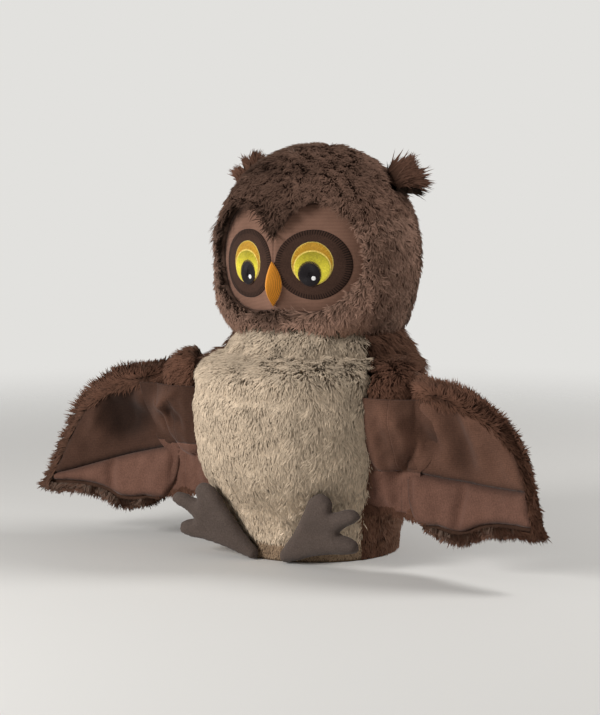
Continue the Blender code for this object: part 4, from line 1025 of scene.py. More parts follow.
class OWL_OT_head(bpy.types.Operator):
    """Make the head's furry panels, its filling and the finger pocket"""
    bl_idname = "owl.head"
    bl_label = "Head Fur"

    def execute(self, context):
        pile, tones = context.scene.owl_pile, context.scene.owl_colours
        cup = (CUP_RADIUS, NECK_PIVOT)
        depths = (HEAD_CLOTH_DEPTH, HEAD_PLUSH)
        crown, chin = CROWN_SHARES, CHIN_SHARES
        rings = (("crown", "crown_panel", "crown_fur", tones.crown, crown[1], 1 + crown[0]),
                 ("cheek_left", "cheek_left", "head_fur", tones.head, crown[0], chin[0]),
                 ("chin", "chin_panel", "head_fur", tones.head, *chin),
                 ("cheek_right", "cheek_right", "head_fur", tones.head, chin[1], crown[1]))
        panels = [(*panel, [head_ring(*shares, depth) for depth in depths]) for *panel, shares in
                  ((*ring[:4], ring[4:]) for ring in rings)]
        panels += [("nape_" + word, "head_back_" + word, "crown_fur", tones.crown,
                    [head_back(depth, side) for depth in depths]) for side, word in SIDES]
        outline, _ = face_outline(0.003)
        for number, (name, node, slot, tone, (outer, inner)) in enumerate(panels):
            outer = face_roll(outer, outline)
            mesh = carved(shell(name, outer, inner), cup, *TUFT_HOLES)
            placed(name + "_cloth", mesh, "head", cloth_under(slot + " ground", tone), (node,))
            finish = finish_named(slot, fur_finish, tone, tip=1.25)
            self.fur(name, outer, outline, pile, finish, slot, np.random.default_rng(200 + number))
        turn, height = np.meshgrid(turns(64), np.linspace(0, math.pi, 33), indexing="ij")
        core = head_points(from_top(height, turn), HEAD_CORE).transpose(1, 0, 2)
        filling = nap_finish("filling", tones.filling, share=0.0, cloud=0.15, depth=0.001, sheen=0.2)
        placed("head_filling", carved(lathe("filling", core), cup), "head", filling, ("head_stuffing",))
        top = NECK_PIVOT_HEIGHT + CUP_RADIUS
        outer, inner = FINGER_RADIUS + FINGER_WALL, FINGER_RADIUS
        profile = np.array(((0, FINGER_DEPTH + FINGER_WALL), (outer * 0.8, FINGER_DEPTH + FINGER_WALL),
                            (outer, FINGER_DEPTH - 0.004), (outer, 0.0), (outer, -0.0010), (inner, -0.0010), (inner, 0),
                            (inner, FINGER_DEPTH - 0.005), (inner * 0.8, FINGER_DEPTH), (0, FINGER_DEPTH)))
        turn = turns(48)
        tube = np.stack((profile[:, :1] * np.cos(turn), FORWARD + profile[:, :1] * np.sin(turn),
                         np.repeat(top + profile[:, 1:], len(turn), axis=1)), -1)
        placed("finger_pocket", lathe("pocket", tube), "head", lining_cloth(tones.lining),
               ("finger_tube",))
        return {"FINISHED"}

    def fur(self, name, outer, outline, pile, finish, slot, rng):
        """Fur combed down, which turns to the face at its edge, with painted light on the cheek band and on the owl's
        left side, painted shade round the face, in the crease behind its roll and under the head, and dark at the brow.
        """
        density = NAPE_DENSITY if name.startswith("nape") else HEAD_DENSITY
        roots, normals = scatter(*outward_grid(outer, (0, FORWARD, HEAD_HEIGHT)), density, rng)
        keep = away_from(roots, NECK_PIVOT, CUP_RADIUS + SOCKET_ROOM)
        for centre in TUFT_CENTRES:
            keep &= away_from(roots, centre, TUFT_BALL + FUR_ROOM)
        roots, normals = roots[keep], normals[keep]
        x, y, z = roots.T
        rim = np.where(y < FORWARD, edge_distance(roots[:, (0, 2)], outline), 1.0)
        low = ramp(0.185 - z, 0.02)
        front = np.clip(-(y - FORWARD) / 0.05, -0.4, 1)
        azimuth = np.degrees(np.arctan2(np.abs(x), FORWARD - y))
        cheek = ramp(68 - azimuth, 10) * ramp(0.285 - z, 0.02)
        brow = bell(x, 0.018) * ramp(0.290 - z, 0.02) * front
        roll = np.exp(-rim / 0.0035)
        droop = roll * ramp(-x, 0.02) * ramp(z - 0.235, 0.015)
        jaw = ramp(0.225 - z, 0.03) * (1 - np.clip(front, 0, 1))
        inward = np.array((0, -0.25, 0)) + (np.array((0, 0, FACE_HEIGHT)) - roots) * (1, 0, 1) / FACE_HALF_WIDTH
        flow = np.column_stack((0.30 * x / 0.08, -0.35 * front, -np.ones(len(roots))))
        flow += 0.35 * ripples(roots, 0.035, (4, 5, 6))
        flow += 1.6 * roll[:, None] * inward
        # Painted side light on the owl's left (+X), a painted highlight on the cheek band, and painted shade at the
        # face's rim, in the crease behind the roll and under the head; darker at the brow.
        lit = np.clip(x / 0.040, -0.6, 1.5) if name == "crown" else np.clip(x / 0.06, -0.6, 1) * mix(0.25, 1, cheek)
        bias = 1.1 * bell(rim - 0.0125, 0.007) * cheek - 1.1 * brow - 0.35 * low - 0.6 * roll
        settings = {"length": pile.head, "width": pile.strand, "rise": mix(0.70, 0.50, low) + 0.25 * roll,
                    "clump": 0.0036, "pull": mix(0.30, 0.65, brow), "ruffle": 0.8, "wave": 0.012,
                    "bias": bias - 0.8 * bell(rim - 0.0275, 0.005) + lit,
                    "share": (1 + 0.20 * brow + 1.3 * droop) * (1 - 0.4 * jaw)}
        furred(name, "head", finish, roots, normals, flow, settings, rng)


# Layers of an eye: piece, the solid that it stands for, slot, its place from the eye's middle, its half
# size, lift, thickness, stitches round it and their relief
EYE_LAYERS = (
    ("eye_disc", "eye_disc", "eye_felt", (0, 0), (DISC_HALF_WIDTH, DISC_HALF_HEIGHT), 0.0003, 0.0010, 0, 0),
    ("eye_outline", "eye_gold", "gold_thread", (0, 0.0010), (0.0155, 0.0170), 0.0009, 0.0007, 120, 0.00025),
    ("eye_amber", None, "gold_thread", (0, 0.0011), (0.0144, 0.0159), 0.0013, 0.0006, 72, 0.00035),
    ("eye_line", None, "yellow_thread", (0.0003, -0.0020), (0.0134, 0.0132), 0.0018, 0.0004, 100, 0.00020),
    ("eye_yellow", "eye_yellow", "yellow_thread", (0.0003, -0.0024), (0.0127, 0.0123), 0.0021, 0.0004, 90, 0.00025),
    ("pupil_halo", None, "black_thread", (-0.0012, -0.0066), (0.0086, 0.0098), 0.0024, 0.0003, 60, 0.00015),
    ("pupil", "pupil", "black_thread", (-0.0012, -0.0074), (0.0076, 0.0086), 0.0026, 0.0005, 60, 0.00015),
    ("glint", "glint", "white_thread", (-0.0012, -0.0100), (0.0016, 0.0017), 0.0030, 0.0005, 0, 0),
)
# Both glints lie to the picture's right of their pupil
GLINT_SHIFT = 0.0030
GLINT_TONE = (0.85, 0.85, 0.83)
HALO_SHADE = 0.8
YELLOW_FADE = (EYE_HEIGHT - 0.002, EYE_HEIGHT + 0.009)


def face_layer(centre, half_size, lift, thickness, ridges, relief):
    """Padded shape on the face: a point at share s and turn t is centre + s (a cos t, b sin t).

    Its height is the lift plus thickness * (1 - s^6)^(1/2), with radial stitch ridges of
    relief * (|sin(ridges t / 2)| - 1/2), and its underside runs back to the middle below the lift.
    """
    turn = turns(max(96, ridges * 4))
    rise = np.r_[np.linspace(0, 0.86, 9), np.linspace(0.9, 1.0, 6)]
    share = np.r_[rise, rise[::-1]][:, None]
    flat = np.stack([middle + share * half * wave for middle, half, wave
                     in zip(centre, half_size, (np.cos(turn), np.sin(turn)))], -1)
    swell = thickness * np.sqrt(1 - share**6)
    ridge = relief * (np.abs(np.sin(ridges * turn / 2)) - 0.5) * np.minimum(1, swell / thickness * 1.5)
    height = lift + swell + ridge
    height[len(rise):] = lift - 0.0002
    return upright(flat, face_surface(flat, height))


class OWL_OT_face(bpy.types.Operator):
    """Make the velour face, the eyes and the beak"""
    bl_idname = "owl.face"
    bl_label = "Face, Eyes and Beak"

    def execute(self, context):
        tones = context.scene.owl_colours
        velour = nap_finish("face_velour", tones.face, ribs=300.0, share=0.6, cloud=0.12)
        outline, half = face_outline(0.0016)
        ring = np.vstack((outline[:half], np.linspace(outline[half - 1], outline[0], 40)[1:-1]))
        centre = np.array((EYE_OFFSET, EYE_HEIGHT))
        flat = centre + np.linspace(0, 1, 26)[:, None, None] * (ring - centre)
        puff = 0.0012 * (1 - np.sqrt(1 - (1 - ramp(flat[..., 0], 0.004))**2))
        top, bottom = upright(flat, face_surface(flat, -puff)), upright(flat, head_front(flat, HEAD_PLUSH))
        finishes = self.finishes(tones)
        for side, word in SIDES:
            flip = np.array((side, 1, 1))
            mesh = lathe("face", np.concatenate((top, bottom[::-1])) * flip)
            placed("face_velour_" + word, mesh, "head", velour, ("face_panel_" + word,))
            for name, node, slot, (x, z), *form in EYE_LAYERS:
                place = (EYE_OFFSET + x + (GLINT_SHIFT * side if name == "glint" else 0), EYE_HEIGHT + z)
                placed(name + "_" + word, lathe(name, face_layer(place, *form) * flip), "head", finishes[name],
                       (node + "_" + word,) if node else ())
        self.beak(tones)
        return {"FINISHED"}

    def finishes(self, tones):
        """Finish of each layer of the eyes: felt with stitches round its rim, and shiny threads."""
        def thread(name, tone, **settings):
            return finish_named(name, nap_finish, tone, share=0.0, cloud=0.16, depth=0.0001, roughness=0.42, **settings)

        def stitches(tree):
            return grouped(tree, "stitch ring").outputs["Mask"]

        def upwards(tree):
            height = node_at(tree, "ShaderNodeSeparateXYZ", {0: object_place(tree)}).outputs["Z"]
            return ranged(tree, height, *YELLOW_FADE)

        seam = tuple(value * STITCH_SHADE for value in tones.disc)
        return {"eye_disc": nap_finish("eye_felt", tones.disc, share=0.05, cloud=0.14, other=seam, mask=stitches),
                "eye_outline": thread("cream thread", tones.cream),
                "eye_amber": thread("amber thread", tones.amber),
                "eye_line": thread("pale thread", tones.cream),
                "eye_yellow": thread("yellow thread", tones.yellow, other=tones.olive, mask=upwards),
                "pupil_halo": thread("halo thread", tuple(value * HALO_SHADE for value in tones.disc)),
                "pupil": thread("black thread", tones.pupil),
                "glint": thread("white thread", GLINT_TONE)}

    def beak(self, tones):
        """Satin beak: at each share of its length, a ridged arch of that width stands on the face."""
        places = np.linspace(0, 1, 49)
        widths = smooth_table(BEAK_WIDTH_SHARES, places)[:, 0] * BEAK_HALF_WIDTH
        turn = np.linspace(-1, 1, 41)
        heights = np.repeat((BEAK_TOP - places * BEAK_LENGTH)[:, None], len(turn), axis=1)
        flat = np.stack((widths[:, None] * turn, heights), -1)
        full = np.sin(math.pi * places**1.25)[:, None]
        arch = (1 - np.abs(turn)**1.6)**0.75 * 0.75 + (1 - np.abs(turn)) * 0.25
        top = upright(flat, face_surface(flat, 0.0018) - BEAK_DEPTH * full * arch)
        base = upright(flat, face_surface(flat, 0.0002))
        satin = nap_finish("beak_satin", tones.beak, ribs=420.0, tilt=(0, math.radians(90), 0), share=0.5, cloud=0.10,
                           depth=0.0001, roughness=0.45, sheen=0.2)
        placed("beak_pad", shell("beak", top, base), "head", satin, ("beak",))


def tuft_axes():
    """Lean, across and up directions of the left tuft."""
    lean, outward = np.array(TUFT_LEAN), np.array(TUFT_OUTWARD)
    across = unit(np.cross(outward, lean))
    return lean, across, np.cross(lean, across)


class OWL_OT_tufts(bpy.types.Operator):
    """Make the spiky ear tufts"""
    bl_idname = "owl.tufts"
    bl_label = "Ear Tufts"

    def execute(self, context):
        pile, tones = context.scene.owl_pile, context.scene.owl_colours
        lean, across, up = tuft_axes()
        centre = np.array(TUFT_CENTRES[0])
        for side, word in SIDES:
            flip = np.array((side, 1, 1))
            rng = np.random.default_rng(300 + (side < 0))
            count, small = TUFT_LOCKS, 1.0 if side > 0 else 0.72
            spread, slant = rng.uniform(-1, 1, count), rng.uniform(-1, 1, count)
            start = rng.uniform(0.0, 0.62, count)
            tuft_lean = lean if side > 0 else np.array(RIGHT_TUFT_LEAN)
            aim = unit(tuft_lean + (0.22 + 0.25 * start)[:, None] * spread[:, None] * across
                       + 0.30 * slant[:, None] * up)
            roots = (centre + start[:, None] * pile.tuft * mix(lean, tuft_lean, start[:, None])
                     + 0.0085 * (spread * (1 + 0.3 * start))[:, None] * across + 0.0045 * slant[:, None] * up)
            normals = unit(np.cross(aim, across) * np.sign(slant)[:, None])
            settings = {"length": pile.tuft * 0.52, "width": pile.strand * 1.4, "rise": 0.30, "clump": 0.0075,
                        "pull": 1.15, "ruffle": 0.35, "wave": 0.01,
                        "share": small * (1 - 0.35 * start) * rng.uniform(0.7, 1.3, count)}
            finish = finish_named("tuft_fur", fur_finish, tones.tuft, depth=0.40, tip=1.1)
            furred("tuft_" + word, "ear_" + word, finish, roots * flip, normals * flip, aim * flip,
                   settings, rng)
            core = np.array(((0.0, 0.0), (0.1, 0.5), (0.35, 0.62), (0.6, 0.5), (0.75, 0.2), (0.78, 0.0)))
            turn = turns(32)
            rows = smooth_table(core, np.linspace(0, 0.78, 18))[:, 0]
            place = np.linspace(-0.10, 0.72, 18)
            grid = (centre + (place * TUFT_LENGTH)[:, None, None] * lean
                    + (rows[:, None] * np.cos(turn) * TUFT_HALF_WIDTH * 0.9)[..., None] * across
                    + (rows[:, None] * np.sin(turn) * 0.0045)[..., None] * up)
            placed("tuft_cloth_" + word, lathe("tuft", grid * flip), "ear_" + word,
                   cloth_under("tuft ground", tones.tuft), ("tuft_" + word,))
        return {"FINISHED"}


def wing_place(flat, back):
    """Flat wing points (out along the wing, up) and their offset to the back, set in space at the shoulder."""
    out, up = flat[..., 0], flat[..., 1]
    return np.stack((SHOULDER[0] + out * math.cos(WING_TURN) + back * math.sin(WING_TURN),
                     FORWARD + SHOULDER[1] - out * math.sin(WING_TURN) + back * math.cos(WING_TURN),
                     SHOULDER[2] + up), -1)


def wing_hollow(flat):
    """Backward bulge of the wing: cup * ((1 - r^2)^2 - 0.3), with r from the middle of the wing."""
    reach = (((flat / (WING_LENGTH, WING_DROP) - (0.5, -0.45)) / 0.62)**2).sum(-1)
    return WING_CUP * ((1 - np.clip(reach, 0, 1))**2 - 0.3)


def ridge(flat, first, last, width, height):
    """Fold of cloth: height * exp(-(d / width)^2), with d the distance to the line between two points."""
    first, last = np.array(first), np.array(last)
    way = last - first
    share = np.clip(((flat - first) @ way) / (way @ way), 0, 1)
    gap = np.linalg.norm(flat - first - share[..., None] * way, axis=-1)
    return height * np.exp(-(gap / width)**2)


# Folds of the upper velour as shares of the wing's length and drop: start, end, width and height
FOLDS = {
    "left": (((0.24, 0.02), (0.34, -0.48), 0.010, 0.0045), ((0.50, -0.05), (0.58, -0.50), 0.013, 0.0040),
             ((0.72, -0.20), (0.80, -0.50), 0.010, 0.0035), ((0.20, -0.17), (0.28, -0.34), 0.006, -0.0035),
             ((0.40, -0.05), (0.45, -0.48), 0.008, -0.0035)),
    "right": (((0.30, 0.02), (0.36, -0.16), 0.010, 0.0060), ((0.72, -0.22), (0.64, -0.44), 0.010, 0.0050),
              ((0.30, -0.44), (0.52, -0.50), 0.008, 0.0035), ((0.44, -0.12), (0.48, -0.40), 0.016, -0.0050)),
}
# Folds of the web between the body and the wing, in metres out from the shoulder and up from the floor
ROOT_FOLDS = {
    "left": (((0.002, 0.125), (0.034, 0.075), 0.009, 0.0040), ((-0.014, 0.127), (-0.003, 0.050), 0.005, 0.0030),
             ((0.027, 0.112), (0.038, 0.093), 0.006, -0.0030)),
    "right": (((0.004, 0.134), (0.034, 0.100), 0.008, 0.0050), ((0.0036, 0.124), (0.0197, 0.110), 0.0035, 0.0030),
              ((0.0197, 0.110), (0.0144, 0.098), 0.0035, 0.0030), ((0.006, 0.103), (0.010, 0.106), 0.005, -0.0055),
              ((0.018, 0.091), (0.026, 0.090), 0.007, 0.0030)),
}
# Painted shade in the hollows of the velour: middle and reach as shares, depth of the painted shade, and painted
# brightness of the wing beside it
PAINTED_VELOUR_SHADES = {"left": ((0.44, -0.42), (0.20, 0.18), 0.25, 1.25), "right": ((0.46, -0.29), (0.20, 0.21), 0.78, 0.80)}
QUILT_LINES = {"left": ((0.12, 0.13), (0.44, 0.44)), "right": ((0.13, 0.13), (0.555, 0.535))}
# Inner edge of the wing beside the body, as shares of its drop and length
WING_ROOT_SHARES = ((-0.90, 0.17), (-0.76, 0.11), (-0.55, 0.085), (-0.20, 0.075), (0.04, 0.040))
ROOT_TOP, ROOT_BOTTOM = 0.129, 0.042
ROOT_PARTING = 0.097
ROOT_SEAMS = {"left": 0.073, "right": 0.082}


class OWL_OT_wings(bpy.types.Operator):
    """Make the furry shoulders and the wings with their velour insides"""
    bl_idname = "owl.wings"
    bl_label = "Wings"

    def execute(self, context):
        pile, tones = context.scene.owl_pile, context.scene.owl_colours
        size = np.array((WING_LENGTH, WING_DROP))
        outline = curve_through(np.array(WING_OUTLINE_SHARES) * size, 0.0022)
        shares = outline / size
        rimless = np.clip(-(shares[:, 1] + 0.02) / 0.15, 0, 1) * np.clip((0.30 - shares[:, 0]) / 0.12, 0, 1)
        inner = curve_through(shrunk(outline, FUR_RIM * (1 - 0.82 * rimless)), 0.0022)
        fur = finish_named("wing fur", fur_finish, tones.wing)
        ground = cloth_under("back_fur ground", tones.back)
        dark = nap_finish("wing_velour", tones.velour, ribs=230.0, share=0.15, cloud=0.10, worn=True)
        light = nap_finish("feather_velour", tones.feather, ribs=230.0, tilt=(0, math.radians(90), 0), share=0.12,
                           cloud=0.10, worn=True)
        for side, word in SIDES:
            flip = np.array((side, 1, 1))
            centre = np.array(SHOULDER_CENTRES[side < 0])
            hole = (SHOULDER_RADIUS + 0.0005, tuple(centre))
            rng = np.random.default_rng(400 + (side < 0))
            seam = curve_through(np.array(WING_SEAMS[word]) * size, 0.003, closed=False)
            inset = FUR_INSET * (1 - 0.75 * np.clip((np.abs(shares[:, 1] + 0.40) - 0.38) / 0.10, 0, 1))
            self.fur_side(word, flip, shrunk(outline, inset), hole, ground, fur, pile, rng)
            for name, slot, above, finish in (("wing_velour", "wing_velour", True, dark),
                                              ("wing_feathers", "feather_velour", False, light)):
                edge = self.part_of(inner, seam, above)
                mesh = cushion(name, edge, 0.0022, lambda flat, d: wing_hollow(flat) - 0.0004,
                               lambda flat, d: self.front(flat, d, word, above), wing_place,
                               lambda flat, d: self.painted_fold_shading(flat, d, word, above))
                points = np.empty(len(mesh.vertices) * 3, np.float32)
                mesh.vertices.foreach_get("co", points)
                mesh.vertices.foreach_set("co", (points.reshape(-1, 3) * flip).ravel())
                mesh = carved(faced_out(mesh), hole)
                placed(name + "_pad_" + word, mesh, "wing_" + word, finish, (name + "_" + word,))
            self.shoulder(word, side, centre, ground, fur, pile, rng)
            for part in ("inner", "outer"):
                self.root("upper", part, word, flip, dark, fur)
                self.root("lower", part, word, flip, light, fur)
        return {"FINISHED"}

    def part_of(self, outline, seam, above):
        """Outline points on one side of the seam, closed along it."""
        level = np.interp(outline[:, 0], seam[:, 0], seam[:, 1])
        keep = (outline[:, 1] - level) * (1 if above else -1) > 0.0007
        start = next(i for i in range(len(keep)) if keep[i] and not keep[i - 1])
        kept = outline[[(start + i) % len(keep) for i in range(keep.sum())]]
        places = np.linspace(kept[-1, 0], kept[0, 0], round(abs(kept[0, 0] - kept[-1, 0]) / 0.0022) + 1)
        line = np.column_stack((places, np.interp(places, seam[:, 0], seam[:, 1])))
        return np.vstack((kept, line))

    def front(self, flat, distance, word, above):
        """Front of the velour: hollow less its padding, with folds above the seam and quilted lobes below."""
        pad = crowned(distance, 0.006, 0.0008, WING_VELOUR)
        shares = flat / (WING_LENGTH, WING_DROP)
        if above:
            fade = np.clip((distance - 0.004) / 0.010, 0, 1)
            pad = pad + fade * (self.folds(flat, word) + 0.0007 * ripple(flat, 0.02, 31))
        else:
            pad = pad + 0.0015 * np.clip(distance / 0.012, 0, 1)
            for top, bottom in QUILT_LINES[word]:
                line = mix(bottom, top, (shares[:, 1] + 1.0) / 0.3)
                gap = np.abs(shares[:, 0] - line) * WING_LENGTH
                pad = pad - 0.0045 * np.exp(-(gap / 0.0042)**2) * np.clip(distance / 0.004, 0, 1)
            pad = pad + 0.0006 * ripple(flat, 0.015, 32) * np.clip(distance / 0.004, 0, 1)
        return wing_hollow(flat) - 0.0008 - np.maximum(pad, 0.0006)

    def folds(self, flat, word):
        """Sum of the upper velour's folds."""
        size = np.array((WING_LENGTH, WING_DROP))
        return sum(ridge(flat, first * size, last * size, width, height)
                   for first, last, width, height in FOLDS[word])

    def painted_fold_shading(self, flat, distance, word, above):
        """Painted light and shade of the nap: a painted highlight on folds, painted shade in hollows and along the fur,
        and each wing painted brighter or darker.
        """
        value = 1 - 0.30 * np.exp(-(distance / 0.004)**2)
        if above:
            middle, reach, depth, painted_brightness = PAINTED_VELOUR_SHADES[word]
            away = (((flat / (WING_LENGTH, WING_DROP) - middle) / reach)**2).sum(-1)
            value = painted_brightness * value * (1 + 70 * self.folds(flat, word)) * (1 - depth * np.exp(-away))
        return np.clip(value, 0.25, 1.5)

    def fur_side(self, word, flip, outline, hole, ground, finish, pile, rng):
        """Furry back of the wing with locks on its back, round its rim and over its top edge."""
        flat, faces, distance = plate(outline, 0.003)
        back = wing_hollow(flat) + crowned(distance, 0.016, 0.0012, WING_FUR - CLOTH_DEPTH)
        front = wing_hollow(flat)
        count, ring = len(flat), np.arange(len(outline))
        after = np.roll(ring, -1)
        points = np.vstack((wing_place(flat, back), wing_place(flat, front))) * flip
        rim = np.column_stack((ring, after, count + after, count + ring))
        mesh = carved(faced_out(mesh_of("wing", points, rim, np.vstack((faces, count + faces[:, ::-1])))), hole)
        placed("wing_fur_cloth_" + word, mesh, "wing_" + word, ground, ("wing_fur_" + word,))
        out = np.array((math.cos(WING_TURN), -math.sin(WING_TURN), 0)) * flip
        up, rear = np.array((0, 0, 1.0)), np.array((math.sin(WING_TURN), math.cos(WING_TURN), 0)) * flip
        over = front - (WING_VELOUR + 0.0006) * np.clip((distance - 0.003) / 0.003, 0, 1)
        roots, normals = [], []
        for points_, sign, density in ((wing_place(flat, back) * flip, 1, 0.70e6), (wing_place(flat, over) * flip, -1, 1.4e6)):
            here, lifts = scatter(points_, faces, density, rng)
            lifts *= np.sign((lifts @ rear) * sign)[:, None]
            if sign < 0:
                local = np.column_stack(((here - hole[1]) @ out, here[:, 2] - SHOULDER[2]))
                shares = local / (WING_LENGTH, WING_DROP)
                slope = np.clip((shares[:, 1] + 0.35) / 0.30, 0, 1)
                inside = np.clip(-(shares[:, 1] + 0.12) / 0.12, 0, 1) * np.clip((0.30 - shares[:, 0]) / 0.12, 0, 1)
                wide = (FUR_RIM - FUR_INSET + 0.0010 + 0.0075 * slope) * (1 - 1.6 * inside)
                rim_only = edge_distance(local, outline) < wide
                here, lifts = here[rim_only], lifts[rim_only]
            roots.append(here)
            normals.append(lifts)
        roots, normals = np.concatenate(roots), np.concatenate(normals)
        keep = away_from(roots, np.array(hole[1]), hole[0] + 0.001)
        roots, normals = roots[keep], normals[keep]
        local = np.column_stack(((roots - hole[1]) @ out, roots[:, 2] - SHOULDER[2]))
        near = edge_distance(local, outline)
        radial = local - np.array((0.45, -0.35)) * (WING_LENGTH, WING_DROP)
        radial /= np.linalg.norm(radial, axis=1)[:, None]
        rimward = np.clip(1 - near / 0.012, 0, 1)[:, None]
        down = np.array((0.45, -0.9))
        aim = radial * (0.35 + rimward) + down * (1 - rimward) * 0.8
        flow = aim[:, :1] * out + aim[:, 1:] * up
        inward = np.clip(-radial[:, 0] * 1.6, 0, 1) * rimward[:, 0]
        bottom = np.clip(-radial[:, 1] * 1.5, 0, 1) * rimward[:, 0]
        share = (1 + 0.05 * rimward[:, 0]) * (1 - 0.55 * inward) * (1 - 0.35 * bottom)
        # Painted light on the owl's left wing and painted shade on its right wing.
        settings = {"length": pile.wing, "width": pile.strand, "rise": 0.42, "clump": 0.0040, "pull": 0.6, "ruffle": 0.5,
                    "wave": 0.014, "share": share, "soft": 0.35 + 1.1 * rimward[:, 0],
                    "bias": 0.5 if flip[0] > 0 else -0.3}
        furred("wing_" + word, "wing_" + word, finish, roots, normals, flow, settings, rng)

    def shoulder(self, word, side, centre, ground, finish, pile, rng):
        """Ball between the body and the wing, furry on top and behind."""
        mesh = ball("shoulder", SHOULDER_RADIUS - 0.0022, centre, 48)
        placed("shoulder_cloth_" + word, mesh, "arm_" + word, ground, ("shoulder_" + word,))
        turn, height = np.meshgrid(np.linspace(0, 2 * math.pi, 49), np.linspace(0.05, math.pi - 0.05, 25), indexing="ij")
        grid = centre + (SHOULDER_RADIUS - 0.0022) * np.stack((np.sin(height) * np.cos(turn),
                                                               np.sin(height) * np.sin(turn), np.cos(height)), -1)
        points, faces = outward_grid(grid, centre)
        roots, normals = scatter(points, faces, 1.5e6, rng)
        body = (roots[:, 0] / CHEST_HALF_WIDTH)**2 + ((roots[:, 1] - FORWARD + CHEST_FORWARD) / CHEST_HALF_DEPTH)**2
        behind = (roots[:, 1] > centre[1] + 0.004) | (roots[:, 2] > centre[2] - 0.004)
        keep = (body > 1.03) & behind
        roots, normals = roots[keep], normals[keep]
        flow = np.tile((side * 0.5, -0.45, -0.70), (len(roots), 1))
        top = np.clip((roots[:, 2] - centre[2]) / SHOULDER_RADIUS, 0, 1)
        settings = {"length": pile.wing, "width": pile.strand, "rise": 0.45 + 0.45 * top, "clump": 0.004, "pull": 0.5,
                    "ruffle": 0.5, "wave": 0.012, "share": 1 + 0.35 * top}
        furred("shoulder_" + word, "arm_" + word, finish, roots, normals, flow, settings, rng)

    def root(self, level, part, word, flip, finish, fur):
        """Velour web between the body's side seam and the wing, in an inner and an outer part.

        Each level line runs straight from the body to the front of the wing, sags backwards by
        a share of sin(pi u), and is pushed forwards over the ball of the shoulder and by its folds.
        The inner part lies between the body and the arm, the outer part between the arm and the wing.
        """
        low, high = (ROOT_SEAMS[word], ROOT_TOP) if level == "upper" else (ROOT_BOTTOM, ROOT_SEAMS[word])
        u, z = np.meshgrid(np.linspace(0, 1, 41), np.linspace(low, high, round((high - low) / 0.0015)))
        lift = z - SHOULDER[2]
        shares = np.array(WING_ROOT_SHARES)
        edge = np.interp(lift / WING_DROP, shares[:, 0], shares[:, 1]) * WING_LENGTH + 0.013
        drape = np.where(lift < 0, lift * 0.42, lift)
        over = np.sqrt(np.clip(SHOULDER_RADIUS**2 - drape**2, 0, None)) + 0.020
        flat = np.stack((np.maximum(edge, over), lift), -1)
        pad = self.front(flat.reshape(-1, 2), np.full(flat[..., 0].size, 0.014), word, True).reshape(u.shape)
        end = wing_place(flat, pad + 0.0008)
        start = torso_points(math.radians(61.0), z, 0.0028)
        parting = (ROOT_PARTING - start[..., 0]) / (end[..., 0] - start[..., 0])
        u = u * parting if part == "inner" else mix(parting, 1.0, u)
        line = mix(start, end, u[..., None])
        free = line[..., 1] + 0.0055 * np.sin(math.pi * u) * np.clip((0.112 - z) / 0.02, 0, 1)
        across = (line[..., 0] - SHOULDER[0])**2 + drape**2
        round_ball = SHOULDER[1] + FORWARD - np.sqrt(np.clip((SHOULDER_RADIUS + 0.0004)**2 - across, 0, None))
        ahead = np.where(across < (SHOULDER_RADIUS + 0.0004)**2, round_ball, free + 0.02)
        blend = 0.0080
        front = -blend * np.log(np.exp(-free / blend) + np.exp(-ahead / blend))
        seen = np.stack((line[..., 0] - SHOULDER[0], z), -1)
        folds = sum(ridge(seen, *fold) for fold in ROOT_FOLDS[word])
        tucked = np.minimum(1, 4 * (1 - u)) * np.minimum(1, 5 * u) * np.clip((ROOT_TOP - z) / 0.012, 0, 1)
        front = np.minimum(front - tucked * (folds + 0.0006 * ripple(seen, 0.012, 33)), ahead)
        outer = np.stack((line[..., 0], front, line[..., 2]), -1)
        name = "_".join(("wing_root", level, part, word))
        mesh = shell(name, outer * flip, (outer + (0, 0.0013, 0)) * flip)
        # Painted light and shade of the web: a painted highlight on its folds, painted shade in its hollows and where
        # it meets the body, the wing and its top, times the wing's painted brightness.
        painted_brightness = PAINTED_VELOUR_SHADES[word][3] if level == "upper" else 1.0
        wear_and_painted_light = painted_brightness * np.clip(1 + 80 * np.minimum(folds, 0.006), 0.25, 1.4) * (1 - 0.25 * (1 - tucked))
        shade = mesh.attributes.new("worn", "FLOAT", "POINT")
        shade.data.foreach_set("value", np.tile(wear_and_painted_light.ravel(), 2).astype(np.float32))
        bodies, places = (("torso", "arm_"), (0.0815, 0.0965)) if part == "inner" else (("arm_", "wing_"), (0.0975, 0.1180))
        first, second = (body + word if body.endswith("_") else body for body in bodies)
        bend = (second, *((place * flip[0], -0.040, 0.09) for place in places))
        placed(name, mesh, first, finish, bend=bend)
        if level == "upper":
            return
        rng = np.random.default_rng(500 + (flip[0] < 0) + 2 * (part == "inner"))
        count = 420 if part == "inner" else 950
        row, column = rng.uniform(0, 3, count), rng.uniform(0, 40, count)
        near, far = outer[row.astype(int), column.astype(int)], outer[row.astype(int), column.astype(int) + 1]
        roots = (mix(near, far, (column % 1)[:, None]) + np.outer(row % 1, (0, 0, 0.0015)) + (0, 0.0006, 0)) * flip
        pile = bpy.context.scene.owl_pile
        settings = {"length": pile.wing * 0.8, "width": pile.strand, "rise": 0.25, "clump": 0.004, "pull": 0.7,
                    "ruffle": 0.5, "wave": 0.012}
        name = "_".join(("wing_root_fringe", part, word))
        fringe = lay_fur(name, roots, np.tile((0.0, -1.0, 0.0), (count, 1)),
                         np.tile((0.35 * flip[0], -0.1, -1.0), (count, 1)), settings, rng)
        placed(name, fringe, first, fur, bend=bend)


